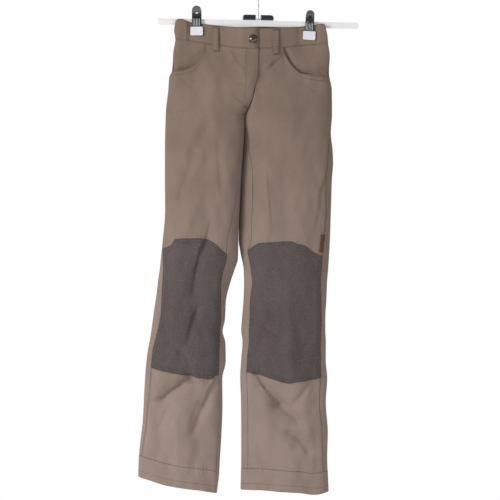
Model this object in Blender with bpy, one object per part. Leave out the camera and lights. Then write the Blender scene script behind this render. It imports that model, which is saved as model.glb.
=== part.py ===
"""Hiking trousers with knee patches, hung by the waistband from the two clips of a metal hanger.

Blender units are metres, +Z is up, the front faces -Y, and +X is on the right of someone who looks at
the front. Right and left are the wearer's, so the right leg is on the -X side. The origin is the place
inside the hanger's hook that rests on the rail.

The cloth is one surface, and every piece is cut from it. A place on it has three numbers:
  leg   the right or the left half of the trousers
  turn  how far round the half, in radians: 0 is its outer edge, pi its inner edge seen from the front,
        and from pi to 2 pi it comes back along the back
  down  how far below the hanger's bar it hangs, in millimetres, before the waist and the hem droop
Down to the crotch each half is open on its inner side and meets the other half at the centre seams.
Below the crotch it closes into a leg. The tables are in millimetres.
"""

import math

import bmesh
import bpy
import numpy as np

MM = 0.001

# The hanger hangs the trousers this far below the rail, from the inside of the hook to the bar's middle.
HOOK_REACH = 100.0

# Heights on the cloth, in millimetres down from the bar.
BAND_HEIGHT = 38.0
DROOP_ENDS = 110.0
OPENS_FROM = 40.0
OPENS_TO = 120.0
CLOSES_FROM = 115.0
CROTCH = 177.0
KNEE_STARTS = 422.0
HEM_SEAM = 870.0
HEM = 912.0

# Thicknesses and clearances.
CLOTH = 1.3
BAND = 2.4
BAND_PROUD = 0.4
HEM_BAND = 2.2
HEM_PROUD = 0.3
PATCH = 1.0
LOOP = 1.2
SEAM_GAP = 0.4
WAIST_GAP = 1.2
LAYER_GAP = 0.35

# How square the sections are: 2 is an ellipse.
BODY_SQUARENESS = 2.4
LEG_SQUARENESS = 2.3
WAIST_SQUARENESS = 5.0

# The legs hang one a little in front of the other where they meet, and cross by this much.
LEG_STEP = 7.0
LEG_CROSSING = 0.3

RIGHT_SIDE, LEFT_SIDE = -1, 1
FRONT, BACK = -1, 1
TINY = 1e-6


def table(names, *rows):
    """The rows as a dictionary of named columns."""
    return dict(zip(names.split(), np.array(rows, float).T))


# Each leg seen from the front: its outer and inner edge (x), and how far in from those edges the two
# seams lie on the front.
RIGHT_LEG = table(
    "down outer inner outseam inseam",
    (0, -160, -25, 0, 0),
    (20, -163, -25, 0, 0),
    (38, -161, -25, 0, 0),
    (61, -165, -25, 0, 0),
    (95, -168, -25, 0, 0),
    (106, -173, -25, 0, 0),
    (130, -175, -25, 0, 0),
    (177, -180, -25.4, 0, 0),
    (247, -181, -29, 0, 4),
    (305, -181, -33, 0, 5),
    (364, -180.5, -36, 0, 10),
    (422, -185, -38.5, 1, 20),
    (457, -188.5, -39, 5, 22),
    (481, -191, -46, 8, 21),
    (504, -194, -53.5, 10, 18),
    (539, -198, -62, 12, 10),
    (575, -203, -64, 14, 8),
    (598, -206, -68.5, 14, 5),
    (621, -209, -63, 12, 10),
    (655, -215, -62.5, 12, 12),
    (691, -219, -69.5, 12, 6),
    (738, -222, -69, 10, 6),
    (797, -225, -71, 8, 6),
    (843, -230, -74, 7, 6),
    (870, -232.5, -75.5, 6, 6),
    (912, -234, -80.5, 5, 6),
)
LEFT_LEG = table(
    "down outer inner outseam inseam",
    (0, 129, -25, 0, 0),
    (20, 134.5, -25, 0, 0),
    (38, 136.5, -25, 0, 0),
    (61, 140, -25, 0, 0),
    (96, 138.5, -25, 0, 0),
    (106, 139.5, -25, 0, 0),
    (130, 144, -25, 0, 0),
    (177, 144.5, -25.4, 1, 0),
    (212, 142.5, -27, 2, 6),
    (247, 146, -29, 8, 12),
    (270, 147, -31, 10, 18),
    (305, 144.5, -33, 11, 23),
    (364, 142.5, -36, 10, 25),
    (422, 140.5, -37.5, 12, 24),
    (447, 139, -34, 14, 14),
    (481, 136.5, -28, 14, 14),
    (504, 134.5, -27.5, 14, 16),
    (539, 133, -28.5, 12, 13),
    (575, 131, -31.5, 10, 15),
    (598, 131, -33, 11, 15),
    (621, 132, -30.5, 12, 13),
    (655, 132, -33, 11, 12),
    (691, 135, -35, 12, 13),
    (738, 132.5, -33.5, 11, 13),
    (797, 136.5, -33, 11, 13),
    (843, 135.5, -33, 10, 13),
    (912, 138, -34, 8, 13),
)

# The centre seams above the crotch (x): the edge of the fly in front, and the seat seam behind.
CENTRE_SEAMS = table(
    "down fly seat",
    (0, 1, -14),
    (60, 1, -15),
    (98, 0.5, -16),
    (130, -6, -18),
    (153, -12, -21),
    (177, -25.4, -25.4),
)

# Seen from the side: how far the front and the back stand off the middle, and where the middle is (y).
DEPTHS = table(
    "down front back middle",
    (0, 14, 14, 0),
    (61, 19, 25, 0),
    (98, 26, 36, 1),
    (130, 31, 43, 2),
    (177, 37, 48, 3),
    (247, 38, 44, 2),
    (305, 37, 41, 0),
    (364, 36, 38, -2),
    (422, 36, 36, -4),
    (481, 37, 34, -6),
    (539, 38, 33, -8),
    (598, 38, 32, -8),
    (655, 35, 32, -5),
    (691, 32, 32, -1),
    (738, 30, 30, 3),
    (797, 27, 28, 6),
    (870, 25, 25, 8),
    (912, 24, 24, 9),
)

# The waistband from end to end: half its depth, pinched to a flat double layer in the two clips, where
# its middle is (y), and how far the top edge of its front, the top edge of its back and its lower seam
# droop. The front's top edge passes before the bar at both ends. The back goes under the bar beside
# each clip, and its top edge shows under the bar in the middle.
WAIST = table(
    "x half middle top back_top seam",
    (-164, 5.6, -7.6, -3, -3, -7.5),
    (-154, 5.6, -7.6, -7.5, -7.5, -7),
    (-147, 4.6, -7, -7.6, -8, -6),
    (-142.5, 3.9, -6.6, -6, -4, -5.7),
    (-140, 4, -6.2, -4.9, 3.2, -5.3),
    (-133.5, 4, -0.4, -2.6, 3.6, -4.8),
    (-125, 3.6, 0, -0.8, 3.8, -3),
    (-105, 3.4, 0, 1.2, 4.2, 0.4),
    (-98, 3.6, 0, 2.3, 4.3, 2.5),
    (-75, 7, 0, 5, 5, 4.5),
    (-49, 11, 0, 7.4, 4.7, 9),
    (-17, 14, 0, 10, 4.4, 12.5),
    (27, 14, 0, 10.8, 4.6, 10.6),
    (45, 12, 0, 9.2, 5.4, 10.2),
    (72, 6.5, 0, 7.6, 8.4, 6.8),
    (82, 3.6, 0, 6.6, 8.6, 5.2),
    (86, 3.4, 0, 6.1, 8.7, 4.6),
    (106, 3.7, 0, 4.2, 9.2, 3),
    (113, 4.2, -0.4, 3.4, 9.4, 2.4),
    (118.5, 4.6, -6.2, 2.2, 9.2, 2.2),
    (121, 4.8, -7.2, 1.8, 3, 2),
    (125, 5, -7.4, 1.8, 1.8, 1.8),
    (137, 5.6, -7.6, 3, 3, 1.5),
)
WAIST_MIDDLE_ENDS = (8.0, 70.0)

# The hems: how far each hangs below the level, from the leg's outer edge (0) to its inner edge (1).
HEMS = table(
    "across right left",
    (0, -28, 1),
    (0.18, -21, 6),
    (0.35, -13, 1.5),
    (0.6, -6.5, -1),
    (0.8, -2.5, -3.5),
    (1, 4.5, -2.5),
)

# The pocket mouths, from the side seam to the waist seam.
RIGHT_MOUTH = table(
    "x down",
    (-180, 99.5),
    (-162, 97),
    (-140, 93.5),
    (-129, 88.5),
    (-118, 79),
    (-111, 69.5),
    (-104.5, 60),
)
LEFT_MOUTH = table(
    "x down",
    (51.5, 47),
    (53, 52),
    (56, 61),
    (60, 71),
    (66, 82),
    (73.5, 92.5),
    (79.5, 98),
    (90, 101.5),
    (105, 103.5),
    (145, 106),
)
RIGHT_MOUTH_CORNER = -103.0
LEFT_MOUTH_CORNER = 51.0
RIGHT_MOUTH_END = 99.0
LEFT_MOUTH_END = 106.0
MOUTH_GAPE = 3.0
MOUTH_GAPE_REACH = 14.0
FACING_TUCK = 7.0
FACING_SINK = 6.0
FACING_SINK_SHARE = 0.6
LEAST_SINK = 2.4
FACING_SINKS_OVER = (26.0, 9.0)
CORNER_WIDTH = 4.5
CORNER_LEVEL = 60.0
FACING_ROWS = 7

# The knee patches: top and bottom edge, from the leg's outer edge (0) to its inner edge (1).
RIGHT_PATCH = table(
    "across top bottom",
    (0, 441, 683),
    (0.13, 431, 685),
    (0.18, 421, 686),
    (0.48, 419, 688),
    (0.6, 421.5, 690),
    (0.7, 430, 692),
    (0.82, 446, 692),
    (0.93, 455, 684),
)
LEFT_PATCH = table(
    "across top bottom",
    (0.08, 453, 687),
    (0.19, 443, 690),
    (0.28, 433, 693),
    (0.38, 429.5, 696),
    (0.45, 425, 699.5),
    (0.65, 427, 691),
    (0.77, 428.5, 686),
    (0.92, 449, 680),
)

# The largest folds of each front and back: a straight trough (depth over 0) or ridge (depth under 0)
# from one place to another, with the distance at which it has faded to a third.
FOLD_COLUMNS = "x1 down1 x2 down2 width depth"
FRONT_FOLDS = table(
    FOLD_COLUMNS,
    (-135, 688, -184, 729, 10, 9),
    (-172, 741, -192, 783, 11, 4),
    (-76, 685, -105, 742, 10, 4),
    (-105, 742, -125, 790, 10, 4),
    (-132, 694, -99, 696, 8, 4),
    (-100, 210, -98, 420, 17, 5),
    (-127, 254, -158, 403, 13, 3.5),
    (-101, 430, -124, 520, 10, 3),
    (-118, 557, -136, 619, 10, 3),
    (-170, 627, -135, 660, 10, 3),
    (52, 62, 9, 104, 11, 3),
    (9, 104, 1, 128, 11, 3),
    (-2, 685, 39, 742, 11, 8),
    (39, 742, 76, 773, 11, 8),
    (61, 799, 95, 832, 10, 6),
    (104, 698, 72, 738, 11, 3),
    (57, 276, 57, 403, 17, 4),
    (58, 440, 58, 680, 13, -3),
    (17, 595, 43, 612, 10, 3),
)
BACK_FOLDS = table(
    FOLD_COLUMNS,
    (-150, 196, -60, 226, 16, 5),
    (112, 198, 15, 222, 16, 5),
    (-120, 250, -128, 400, 18, 4),
    (60, 262, 52, 408, 18, 4),
    (-186, 560, -100, 585, 12, 6),
    (-92, 604, -165, 628, 12, 5),
    (118, 566, 30, 582, 12, 6),
    (-8, 612, 74, 630, 12, 5),
    (-190, 700, -120, 745, 14, 5),
    (106, 712, 30, 752, 14, 5),
)

# The rows of points down a panel. They are level from the hips to the thigh. Above, they fan out to the
# panel's own top, and below, they follow the top and bottom edges of the knee patch.
TOP_ROWS = 5
HIP_ROWS = (120, 132, 144, 156, 168, 174, 182, 200, 226, 252, 279, 306, 333)
THIGH_SHARES = (0.3, 0.58, 0.82)
KNEE_ROWS = 13
SHIN_SHARES = (0.04, 0.1, 0.16, 0.22, 0.29, 0.36, 0.44, 0.53, 0.63, 0.75, 0.87, 1)
PLAIN_KNEE = (430.0, 688.0)

# The columns of points along the band: at these distances from its end, then at these places (x).
BAND_END_COLUMNS = (0.6, 2.0, 4.5)
BAND_COLUMNS = {
    RIGHT_SIDE: (-153, -147, -142.5, -140, -133.5, -126, -119, -112, -105, -97, -86, -70, -52, -36, -24, -10),
    LEFT_SIDE: (121.5, 118.5, 116, 113, 106, 99, 92.5, 86, 78, 66, 50, 32, 14, -4, -14),
}

# The lap of the right front over the left front: its width, and how far it is lifted.
BAND_LAP = 25.0
FLY_LAP = 8.0
FLY_LAP_ENDS = 105.0
BAND_LIFT = 2.8
FLY_LIFT = 1.8
LIFT_STARTS = 42.0
LIFT_WIDTH = 12.0

# The hanger.
BAR = {"length": 391.0, "height": 12.0, "thickness": 2.0, "tilt_degrees": 1.36, "corner": 3.0}
BLOCK = {"inner": 4.4, "length": 26.0, "height": 10.0, "depth": 9.0}
WIRE_RADIUS = 1.75
HOOK_INSIDE = 21.0
HOOK_BEND = 10.0
HOOK_FOOT_RADIUS = 3.8
CLIPS = {
    "right": {"x": -119.5, "tip_down": 15.7, "lean_degrees": 0.0, "width": 18.3},
    "left": {"x": 99.5, "tip_down": 24.4, "lean_degrees": 3.0, "width": 16.5},
}
TIP = {"width": 24.0, "height": 16.6, "thickness": 3.2}
PLATE = {"height": 40.0, "thickness": 1.4, "lever": 18.0, "spread": 4.5}
SPRING_LENGTH = 13.0

# Small pieces on the cloth (x, down, sizes).
BUTTON = {"x": -9.0, "down": 21.0, "radius": 8.8, "height": 4.2}
LOOP_LENGTH = (1.5, 53.0)
LOOP_HALF_WIDTH = 6.2
LOOPS = {
    "belt_loop_front_right": {"x": -82.5, "face": FRONT, "bow": 2.2},
    "belt_loop_front_left": {"x": 34.5, "face": FRONT, "bow": 1.0},
    "belt_loop_back_right": {"x": -84.0, "face": BACK, "bow": 1.2},
    "belt_loop_back_left": {"x": 56.0, "face": BACK, "bow": 1.2},
    "belt_loop_centre_back": {"x": -21.5, "face": BACK, "bow": 1.2},
}
TAB = {"x": (118.0, 126.0), "down": (412.0, 446.0), "lean": 3.5, "stand": 0.5, "thickness": 1.4}

COLOURS = {
    "cloth": ((0.24, 0.17, 0.13, 1), 0.9, 0.0),
    "patch": ((0.085, 0.065, 0.065, 1), 0.95, 0.0),
    "leather": ((0.13, 0.035, 0.02, 1), 0.6, 0.0),
    "button": ((0.2, 0.17, 0.14, 1), 0.25, 1.0),
    "bar": ((0.66, 0.65, 0.64, 1), 0.35, 0.6),
    "dark_steel": ((0.12, 0.12, 0.125, 1), 0.25, 1.0),
    "wire": ((0.6, 0.6, 0.6, 1), 0.25, 1.0),
    "tip": ((0.72, 0.7, 0.76, 1), 0.5, 0.0),
}


def read(source, key, name, at):
    """A column at any place along the key column, on a smooth curve that never overshoots a row."""
    x = source[key]
    y = source[name]
    chord = np.diff(y) / np.diff(x)
    before, after = chord[:-1], chord[1:]
    same_way = before * after > 0
    inner = np.where(same_way, 2 * before * after / np.where(same_way, before + after, 1), 0)
    slope = np.concatenate([chord[:1], inner, chord[-1:]])
    at = np.clip(at, x[0], x[-1])
    i = np.clip(np.searchsorted(x, at, side="right") - 1, 0, len(x) - 2)
    width = x[i + 1] - x[i]
    t = (at - x[i]) / width
    start = (1 + 2 * t) * (1 - t) ** 2 * y[i] + t * (1 - t) ** 2 * width * slope[i]
    end = t * t * (3 - 2 * t) * y[i + 1] + t * t * (t - 1) * width * slope[i + 1]
    return start + end


def rise(at, start, end):
    """0 before start, 1 after end, and a soft step between them."""
    t = np.clip((at - start) / (end - start), 0, 1)
    return t * t * (3 - 2 * t)


def closing(down):
    """How far the inner side has come round to the middle: 0 above, 1 from the crotch down."""
    return np.clip((down - CLOSES_FROM) / (CROTCH - CLOSES_FROM), 0, 1) ** 2


def squared(part, squareness):
    """The height of a squared ellipse at a part, from -1 to 1, of its half width."""
    return (1 - np.clip(np.abs(part), 0, 1) ** squareness) ** (1 / squareness)


def leg_table(side):
    return RIGHT_LEG if side == RIGHT_SIDE else LEFT_LEG


def meeting(down):
    """How far the legs have come to hang one before the other, from 0 to 1."""
    return rise(down, CROTCH, 232) * (1 - rise(down, KNEE_STARTS, 500))


def lap(down):
    """How far the left side runs on under the right one, at the band and at the fly."""
    in_band = down < BAND_HEIGHT + WAIST_GAP / 2
    return np.where(in_band, BAND_LAP, FLY_LAP * (1 - rise(down, FLY_LAP_ENDS - 21, FLY_LAP_ENDS)))


def edges(side, face, down):
    """The outer and inner edge of one half (x)."""
    leg = leg_table(side)
    outer = read(leg, "down", "outer", down)
    seam = np.where(
        face == FRONT,
        read(CENTRE_SEAMS, "down", "fly", down),
        read(CENTRE_SEAMS, "down", "seat", down),
    )
    apart = SEAM_GAP / 2 - (SEAM_GAP / 2 + LEG_CROSSING) * meeting(down) ** 3
    under = np.where((face == FRONT) & (side == LEFT_SIDE), lap(down), 0)
    inner = np.where(down < CROTCH, seam - under, read(leg, "down", "inner", down))
    return outer, inner + side * apart


def reach_of_turn(turn, down):
    """1 at the outer edge and -1 at the inner edge, for a turn from 0 to pi."""
    closed = closing(down)
    return (1 - closed) * (2 * np.cos(turn / 2) - 1) + closed * np.cos(turn)


def turn_of_reach(reach, down):
    """The turn from 0 to pi at which reach_of_turn gives this reach."""
    closed = np.maximum(closing(down), TINY)
    opened = 1 - closed
    cosine = (np.sqrt(opened**2 + 2 * closed * (1 + reach)) - opened) / (2 * closed)
    return 2 * np.arccos(np.clip(cosine, 0, 1))


def turn_at(side, x, down, face=FRONT):
    """The turn of the place on one face that lies at x."""
    outer, inner = edges(side, face, down)
    reach = np.clip(1 - 2 * (x - outer) / (inner - outer), -1, 1)
    turn = turn_of_reach(reach, down)
    return turn if face == FRONT else 2 * math.pi - turn


def droop(side, face, x, across, down):
    """How much lower than its level a place hangs, from the waist's and the hem's own lines."""
    seam = read(WAIST, "x", "seam", x)
    top = np.where(face == FRONT, read(WAIST, "x", "top", x), read(WAIST, "x", "back_top", x))
    band = np.clip(1 - down / BAND_HEIGHT, 0, 1) * (top - seam)
    hem = read(HEMS, "across", "right" if side == RIGHT_SIDE else "left", across)
    hem_share = np.clip((down - KNEE_STARTS) / (HEM_SEAM - KNEE_STARTS), 0, 1)
    return band + seam * (1 - rise(down, BAND_HEIGHT, DROOP_ENDS)) + hem * hem_share


def fold_depth(folds, x, low):
    """How far the folds push the cloth in at a place, by its distance from each fold's line."""
    total = np.zeros(np.shape(x))
    for x1, low1, x2, low2, width, depth in zip(*folds.values()):
        run, fall = x2 - x1, low2 - low1
        along = np.clip(((x - x1) * run + (low - low1) * fall) / (run**2 + fall**2), 0, 1)
        away = np.hypot(x - x1 - along * run, low - low1 - along * fall)
        total = total + depth * np.exp(-((away / width) ** 2))
    return total


def cloth(side, turn, down):
    """The place of the cloth's outer face, in millimetres.

    Across a half, x runs from its outer to its inner edge by the cosine of the turn. Off the middle, y
    is a squared ellipse over both halves above the crotch, and one over each leg below it. In the
    waistband it is the WAIST table instead, closed at both ends.
    """
    turn, down = np.broadcast_arrays(np.mod(turn, 2 * math.pi), np.asarray(down, float))
    face = np.where(turn <= math.pi, FRONT, BACK)
    turn = np.where(turn <= math.pi, turn, 2 * math.pi - turn)
    outer, inner = edges(side, face, down)
    reach = reach_of_turn(turn, down)
    across = (1 - reach) / 2
    x = outer + (inner - outer) * across

    edge_right = read(RIGHT_LEG, "down", "outer", down)
    edge_left = read(LEFT_LEG, "down", "outer", down)
    part = (2 * x - edge_left - edge_right) / (edge_left - edge_right)
    closed = closing(down)
    height = (1 - closed) * squared(part, BODY_SQUARENESS) + closed * squared(reach, LEG_SQUARENESS)
    depth = np.where(face == FRONT, read(DEPTHS, "down", "front", down), read(DEPTHS, "down", "back", down))
    opened = rise(down, OPENS_FROM, OPENS_TO)
    flat = read(WAIST, "x", "half", x) * squared(part, WAIST_SQUARENESS)
    off_middle = opened * depth * height + (1 - opened) * flat

    low = down + droop(side, face, x, across, down)
    folds = np.where(face == FRONT, fold_depth(FRONT_FOLDS, x, low), fold_depth(BACK_FOLDS, x, low))
    off_middle = off_middle - folds * np.clip(off_middle / 12, 0, 1)
    middle = read(DEPTHS, "down", "middle", down) + side * LEG_STEP * meeting(down)
    middle = middle + read(WAIST, "x", "middle", x) * (1 - rise(down, *WAIST_MIDDLE_ENDS))
    y = middle + face * off_middle
    return np.stack([x, y, -(HOOK_REACH + low)], axis=-1)


def outward(side, turn, down):
    """The direction straight out of the cloth, from its slopes round the half and down it."""
    step_round, step_down = 0.01, 0.5
    turn, down = np.broadcast_arrays(turn, np.asarray(down, float))
    before, after = turn - step_round, turn + step_round
    above = down < CROTCH
    before = np.where(above & (turn > math.pi), np.maximum(before, math.pi + TINY), before)
    after = np.where(above & (turn <= math.pi), np.minimum(after, math.pi), after)
    round_it = cloth(side, after, down) - cloth(side, before, down)
    down_it = cloth(side, turn, down + step_down) - cloth(side, turn, down - step_down)
    direction = side * np.cross(round_it, down_it)
    return direction / np.linalg.norm(direction, axis=-1, keepdims=True)


def beside(side, turn, down, distance):
    """The turn that lies a distance further round the surface, in millimetres."""
    step = 0.002
    speed = np.linalg.norm(cloth(side, turn + step, down) - cloth(side, turn, down), axis=-1) / step
    return turn + distance / speed


def outseam_turn(side, down):
    outer, inner = edges(side, FRONT, down)
    inset = read(leg_table(side), "down", "outseam", down)
    return turn_of_reach(1 - 2 * np.maximum(inset, 0) / np.abs(inner - outer), down)


def inseam_turn(side, down):
    """The inseam's turn below the crotch. Above it, this is the centre seam at pi."""
    outer, inner = edges(side, FRONT, down)
    inset = np.where(down < CROTCH, 0, read(leg_table(side), "down", "inseam", down))
    return turn_of_reach(2 * np.maximum(inset, 0) / np.abs(inner - outer) - 1, down)


def lift_over_fly(side, turn, down):
    """How far the right front is lifted over the left one where they lap."""
    if side == LEFT_SIDE:
        return np.zeros(np.broadcast(turn, down).shape)
    x = cloth(side, turn, down)[..., 0]
    fly = read(CENTRE_SEAMS, "down", "fly", down)
    amount = FLY_LIFT + (BAND_LIFT - FLY_LIFT) * (1 - rise(down, BAND_HEIGHT, 56))
    near_edge = rise(x, fly - LIFT_STARTS, fly - LIFT_STARTS + LIFT_WIDTH)
    return amount * near_edge * (1 - rise(down, FLY_LAP_ENDS, FLY_LAP_ENDS + 20)) * (turn <= math.pi)


def material(name):
    colour, roughness, metallic = COLOURS[name]
    made = bpy.data.materials.new(name)
    made.use_nodes = True
    shader = made.node_tree.nodes["Principled BSDF"]
    shader.inputs["Base Color"].default_value = colour
    shader.inputs["Roughness"].default_value = roughness
    shader.inputs["Metallic"].default_value = metallic
    made.diffuse_color = colour
    return made


def add_object(name, mesh, colour):
    thing = bpy.data.objects.new(name, mesh)
    bpy.context.scene.collection.objects.link(thing)
    mesh.materials.append(material(colour))
    return thing


def mesh_of(name, points, faces):
    """A mesh from points in millimetres, its faces turned to point outwards."""
    mesh = bpy.data.meshes.new(name)
    mesh.from_pydata((np.asarray(points) * MM).tolist(), [], faces)
    work = bmesh.new()
    work.from_mesh(mesh)
    bmesh.ops.recalc_face_normals(work, faces=work.faces)
    work.to_mesh(mesh)
    work.free()
    mesh.shade_smooth()
    return mesh


def grid_faces(rows, columns, first=0, round_it=False):
    """The triangles of a grid of points. A grid that goes round also joins its last column to its first."""
    faces = []
    for i in range(rows - 1):
        for j in range(columns if round_it else columns - 1):
            k = (j + 1) % columns
            near, far = first + i * columns, first + (i + 1) * columns
            faces.append((near + j, near + k, far + j))
            faces.append((near + k, far + k, far + j))
    return faces


def wall(name, outer, inner, colour, round_it=False):
    """A closed wall between two grids of points that lie a thickness apart."""
    rows, columns = outer.shape[:2]
    count = rows * columns
    points = np.concatenate([outer.reshape(-1, 3), inner.reshape(-1, 3)])
    faces = grid_faces(rows, columns, 0, round_it)
    faces += [face[::-1] for face in grid_faces(rows, columns, count, round_it)]
    border = [(0, j) for j in range(columns)]
    if round_it:
        rims = [border + [border[0]], [(rows - 1, j) for j in range(columns)] + [(rows - 1, 0)]]
    else:
        border += [(i, columns - 1) for i in range(1, rows)]
        border += [(rows - 1, j) for j in range(columns - 2, -1, -1)]
        border += [(i, 0) for i in range(rows - 2, -1, -1)]
        rims = [border]
    for rim in rims:
        for (i, j), (k, m) in zip(rim[:-1], rim[1:]):
            a, b = i * columns + j, k * columns + m
            faces.append((a, b, count + b, count + a))
    return add_object(name, mesh_of(name, points, faces), colour)


def cut_piece(name, side, turns, downs, thickness, proud=0.0, lift=0.0, colour="cloth", round_it=False):
    """A piece of cloth over a grid of turns and downs. It returns its outer face, point by point."""
    turns, downs = np.broadcast_arrays(turns, downs)
    out = outward(side, turns, downs)
    away = np.broadcast_to(proud + lift, turns.shape)[..., None]
    face = cloth(side, turns, downs) + out * away
    wall(name, face, face - out * thickness, colour, round_it)
    return {"face": face, "out": out, "turns": turns, "downs": downs}


def panel_rows(top, knee_top, knee_bottom):
    """The rows of a panel, as one column of downs for each value of top, knee_top and knee_bottom."""
    def between(start, end, shares):
        return start + (end - start) * np.asarray(shares)[:, None]

    hips = np.broadcast_to(np.array(HIP_ROWS)[:, None], (len(HIP_ROWS), len(top)))
    return np.concatenate([
        between(top, HIP_ROWS[0], np.arange(TOP_ROWS) / TOP_ROWS),
        hips,
        between(HIP_ROWS[-1], knee_top, THIGH_SHARES),
        between(knee_top, knee_bottom, np.linspace(0, 1, KNEE_ROWS)),
        between(knee_bottom, HEM_SEAM - SEAM_GAP / 2, SHIN_SHARES),
    ])


def knee_rows():
    """The numbers of the first and the last row of the knee patch in a panel."""
    first = TOP_ROWS + len(HIP_ROWS) + len(THIGH_SHARES)
    return first, first + KNEE_ROWS


def mouth_down(side, x):
    """How far down the pocket mouth is at x: the waist seam's own place past its corner."""
    if side == RIGHT_SIDE:
        depth = read(RIGHT_MOUTH, "x", "down", x)
        return np.where(x > RIGHT_MOUTH_CORNER, BAND_HEIGHT + WAIST_GAP, depth)
    depth = read(LEFT_MOUTH, "x", "down", x)
    return np.where(x < LEFT_MOUTH_CORNER, BAND_HEIGHT + WAIST_GAP, depth)


def column_across(side, parts, level):
    """Where the columns of a front are at a level, from the leg's outer edge (0) to its inner edge (1)."""
    start, end = outseam_turn(side, level), inseam_turn(side, level)
    return (1 - reach_of_turn(start + (end - start) * parts, level)) / 2


def make_front(side, name):
    """A front, from the outseam to the fly and the inseam, cut away at the top for its pocket."""
    corner = RIGHT_MOUTH_CORNER if side == RIGHT_SIDE else LEFT_MOUTH_CORNER
    level = CORNER_LEVEL
    start, end = outseam_turn(side, level), inseam_turn(side, level)
    at_corner = (turn_at(side, corner - side * 0.2, level) - start) / (end - start)
    before_corner = (turn_at(side, corner + side * CORNER_WIDTH, level) - start) / (end - start)
    pocket_part = before_corner * np.array([0, 0.1, 0.26, 0.44, 0.62, 0.8, 1.0])
    share = np.array([0, 0.2, 0.42, 0.64, 0.84, 1.0])
    if side == RIGHT_SIDE:
        share = np.array([0, 0.18, 0.36, 0.54, 0.7, 0.86, 1.0])
    parts = np.concatenate([pocket_part, at_corner + (1 - at_corner) * share])

    x = cloth(side, start + (end - start) * parts, level)[..., 0]
    patch = RIGHT_PATCH if side == RIGHT_SIDE else LEFT_PATCH
    knee_top = read(patch, "across", "top", column_across(side, parts, PLAIN_KNEE[0]))
    knee_bottom = read(patch, "across", "bottom", column_across(side, parts, PLAIN_KNEE[1]))
    downs = panel_rows(mouth_down(side, x), knee_top, knee_bottom)
    first = beside(side, outseam_turn(side, downs), downs, SEAM_GAP / 2)
    seam = inseam_turn(side, downs)
    last = np.where(downs < CROTCH, seam, beside(side, seam, downs, -SEAM_GAP / 2))
    turns = first + (last - first) * parts
    below_mouth = downs - mouth_down(side, x)
    gape = MOUTH_GAPE * np.exp(-((below_mouth / MOUTH_GAPE_REACH) ** 2))
    gape = gape * np.where(parts < at_corner, np.sin(math.pi * np.minimum(parts / at_corner, 1)), 0)
    return cut_piece(name, side, turns, downs, CLOTH, lift=lift_over_fly(side, turns, downs) + gape)


def make_back(side, name, front):
    """A back, from the inseam round the back to the outseam. Its rows meet the front's rows at both seams."""
    parts = np.array([0, 0.05, 0.12, 0.2, 0.3, 0.41, 0.53, 0.65, 0.76, 0.86, 0.94, 1.0])
    at_outseam, at_inseam = front["downs"][:, :1], front["downs"][:, -1:]
    downs = at_inseam + (at_outseam - at_inseam) * parts
    top = BAND_HEIGHT + WAIST_GAP
    downs[:TOP_ROWS] = top + (HIP_ROWS[0] - top) * np.arange(TOP_ROWS)[:, None] / TOP_ROWS
    seam = inseam_turn(side, downs)
    first = np.where(downs < CROTCH, math.pi + TINY, beside(side, seam, downs, SEAM_GAP / 2))
    last = 2 * math.pi + beside(side, outseam_turn(side, downs), downs, -SEAM_GAP / 2)
    return cut_piece(name, side, first + (last - first) * parts, downs, CLOTH)


def make_facing(side, name):
    """The piece that shows above a pocket mouth, sinks towards it and runs on behind the front."""
    level = CORNER_LEVEL
    corner = RIGHT_MOUTH_CORNER if side == RIGHT_SIDE else LEFT_MOUTH_CORNER
    start = beside(side, outseam_turn(side, level), level, SEAM_GAP / 2)
    end = turn_at(side, corner - side * FACING_TUCK, level)
    turns = start + (end - start) * np.array([0, 0.08, 0.24, 0.42, 0.6, 0.8, 1.0])
    x = cloth(side, turns, level)[..., 0]
    mouth = np.where(side * (x - corner) > 0, mouth_down(side, x), BAND_HEIGHT + FACING_TUCK)
    mouth_end = RIGHT_MOUTH_END if side == RIGHT_SIDE else LEFT_MOUTH_END
    bottom = np.minimum(mouth + FACING_TUCK, mouth_end + FACING_TUCK / 2)
    top = BAND_HEIGHT + WAIST_GAP
    downs = top + (bottom - top) * np.linspace(0, 1, FACING_ROWS)[:, None]
    sunk = rise(downs - mouth, -FACING_SINKS_OVER[0], -FACING_SINKS_OVER[1])
    sunk = np.where(side * (x - corner) > 0, sunk, 1)
    depth = np.abs(cloth(side, turns, downs)[..., 1])
    sink = np.clip(FACING_SINK_SHARE * depth, LEAST_SINK, FACING_SINK)
    cut_piece(name, side, turns, downs, CLOTH, proud=-sink * sunk)


def band_turns(side, face, downs):
    """The columns of points along one half of the band, from its end to its middle."""
    outer = edges(side, face, downs)[0]
    near_end = outer - side * np.array(BAND_END_COLUMNS)
    columns = BAND_COLUMNS[side] if face == FRONT else BAND_COLUMNS[side][:-1]
    on = np.broadcast_to(columns, (len(downs), len(columns)))
    turns = turn_at(side, np.concatenate([near_end, on], axis=1), downs, face)
    first = beside(side, TINY, downs, SEAM_GAP / 2)
    first = first if face == FRONT else 2 * math.pi - first
    middle = np.full(downs.shape, math.pi if face == FRONT else math.pi + TINY)
    return np.concatenate([first, turns, middle], axis=1)


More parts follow.
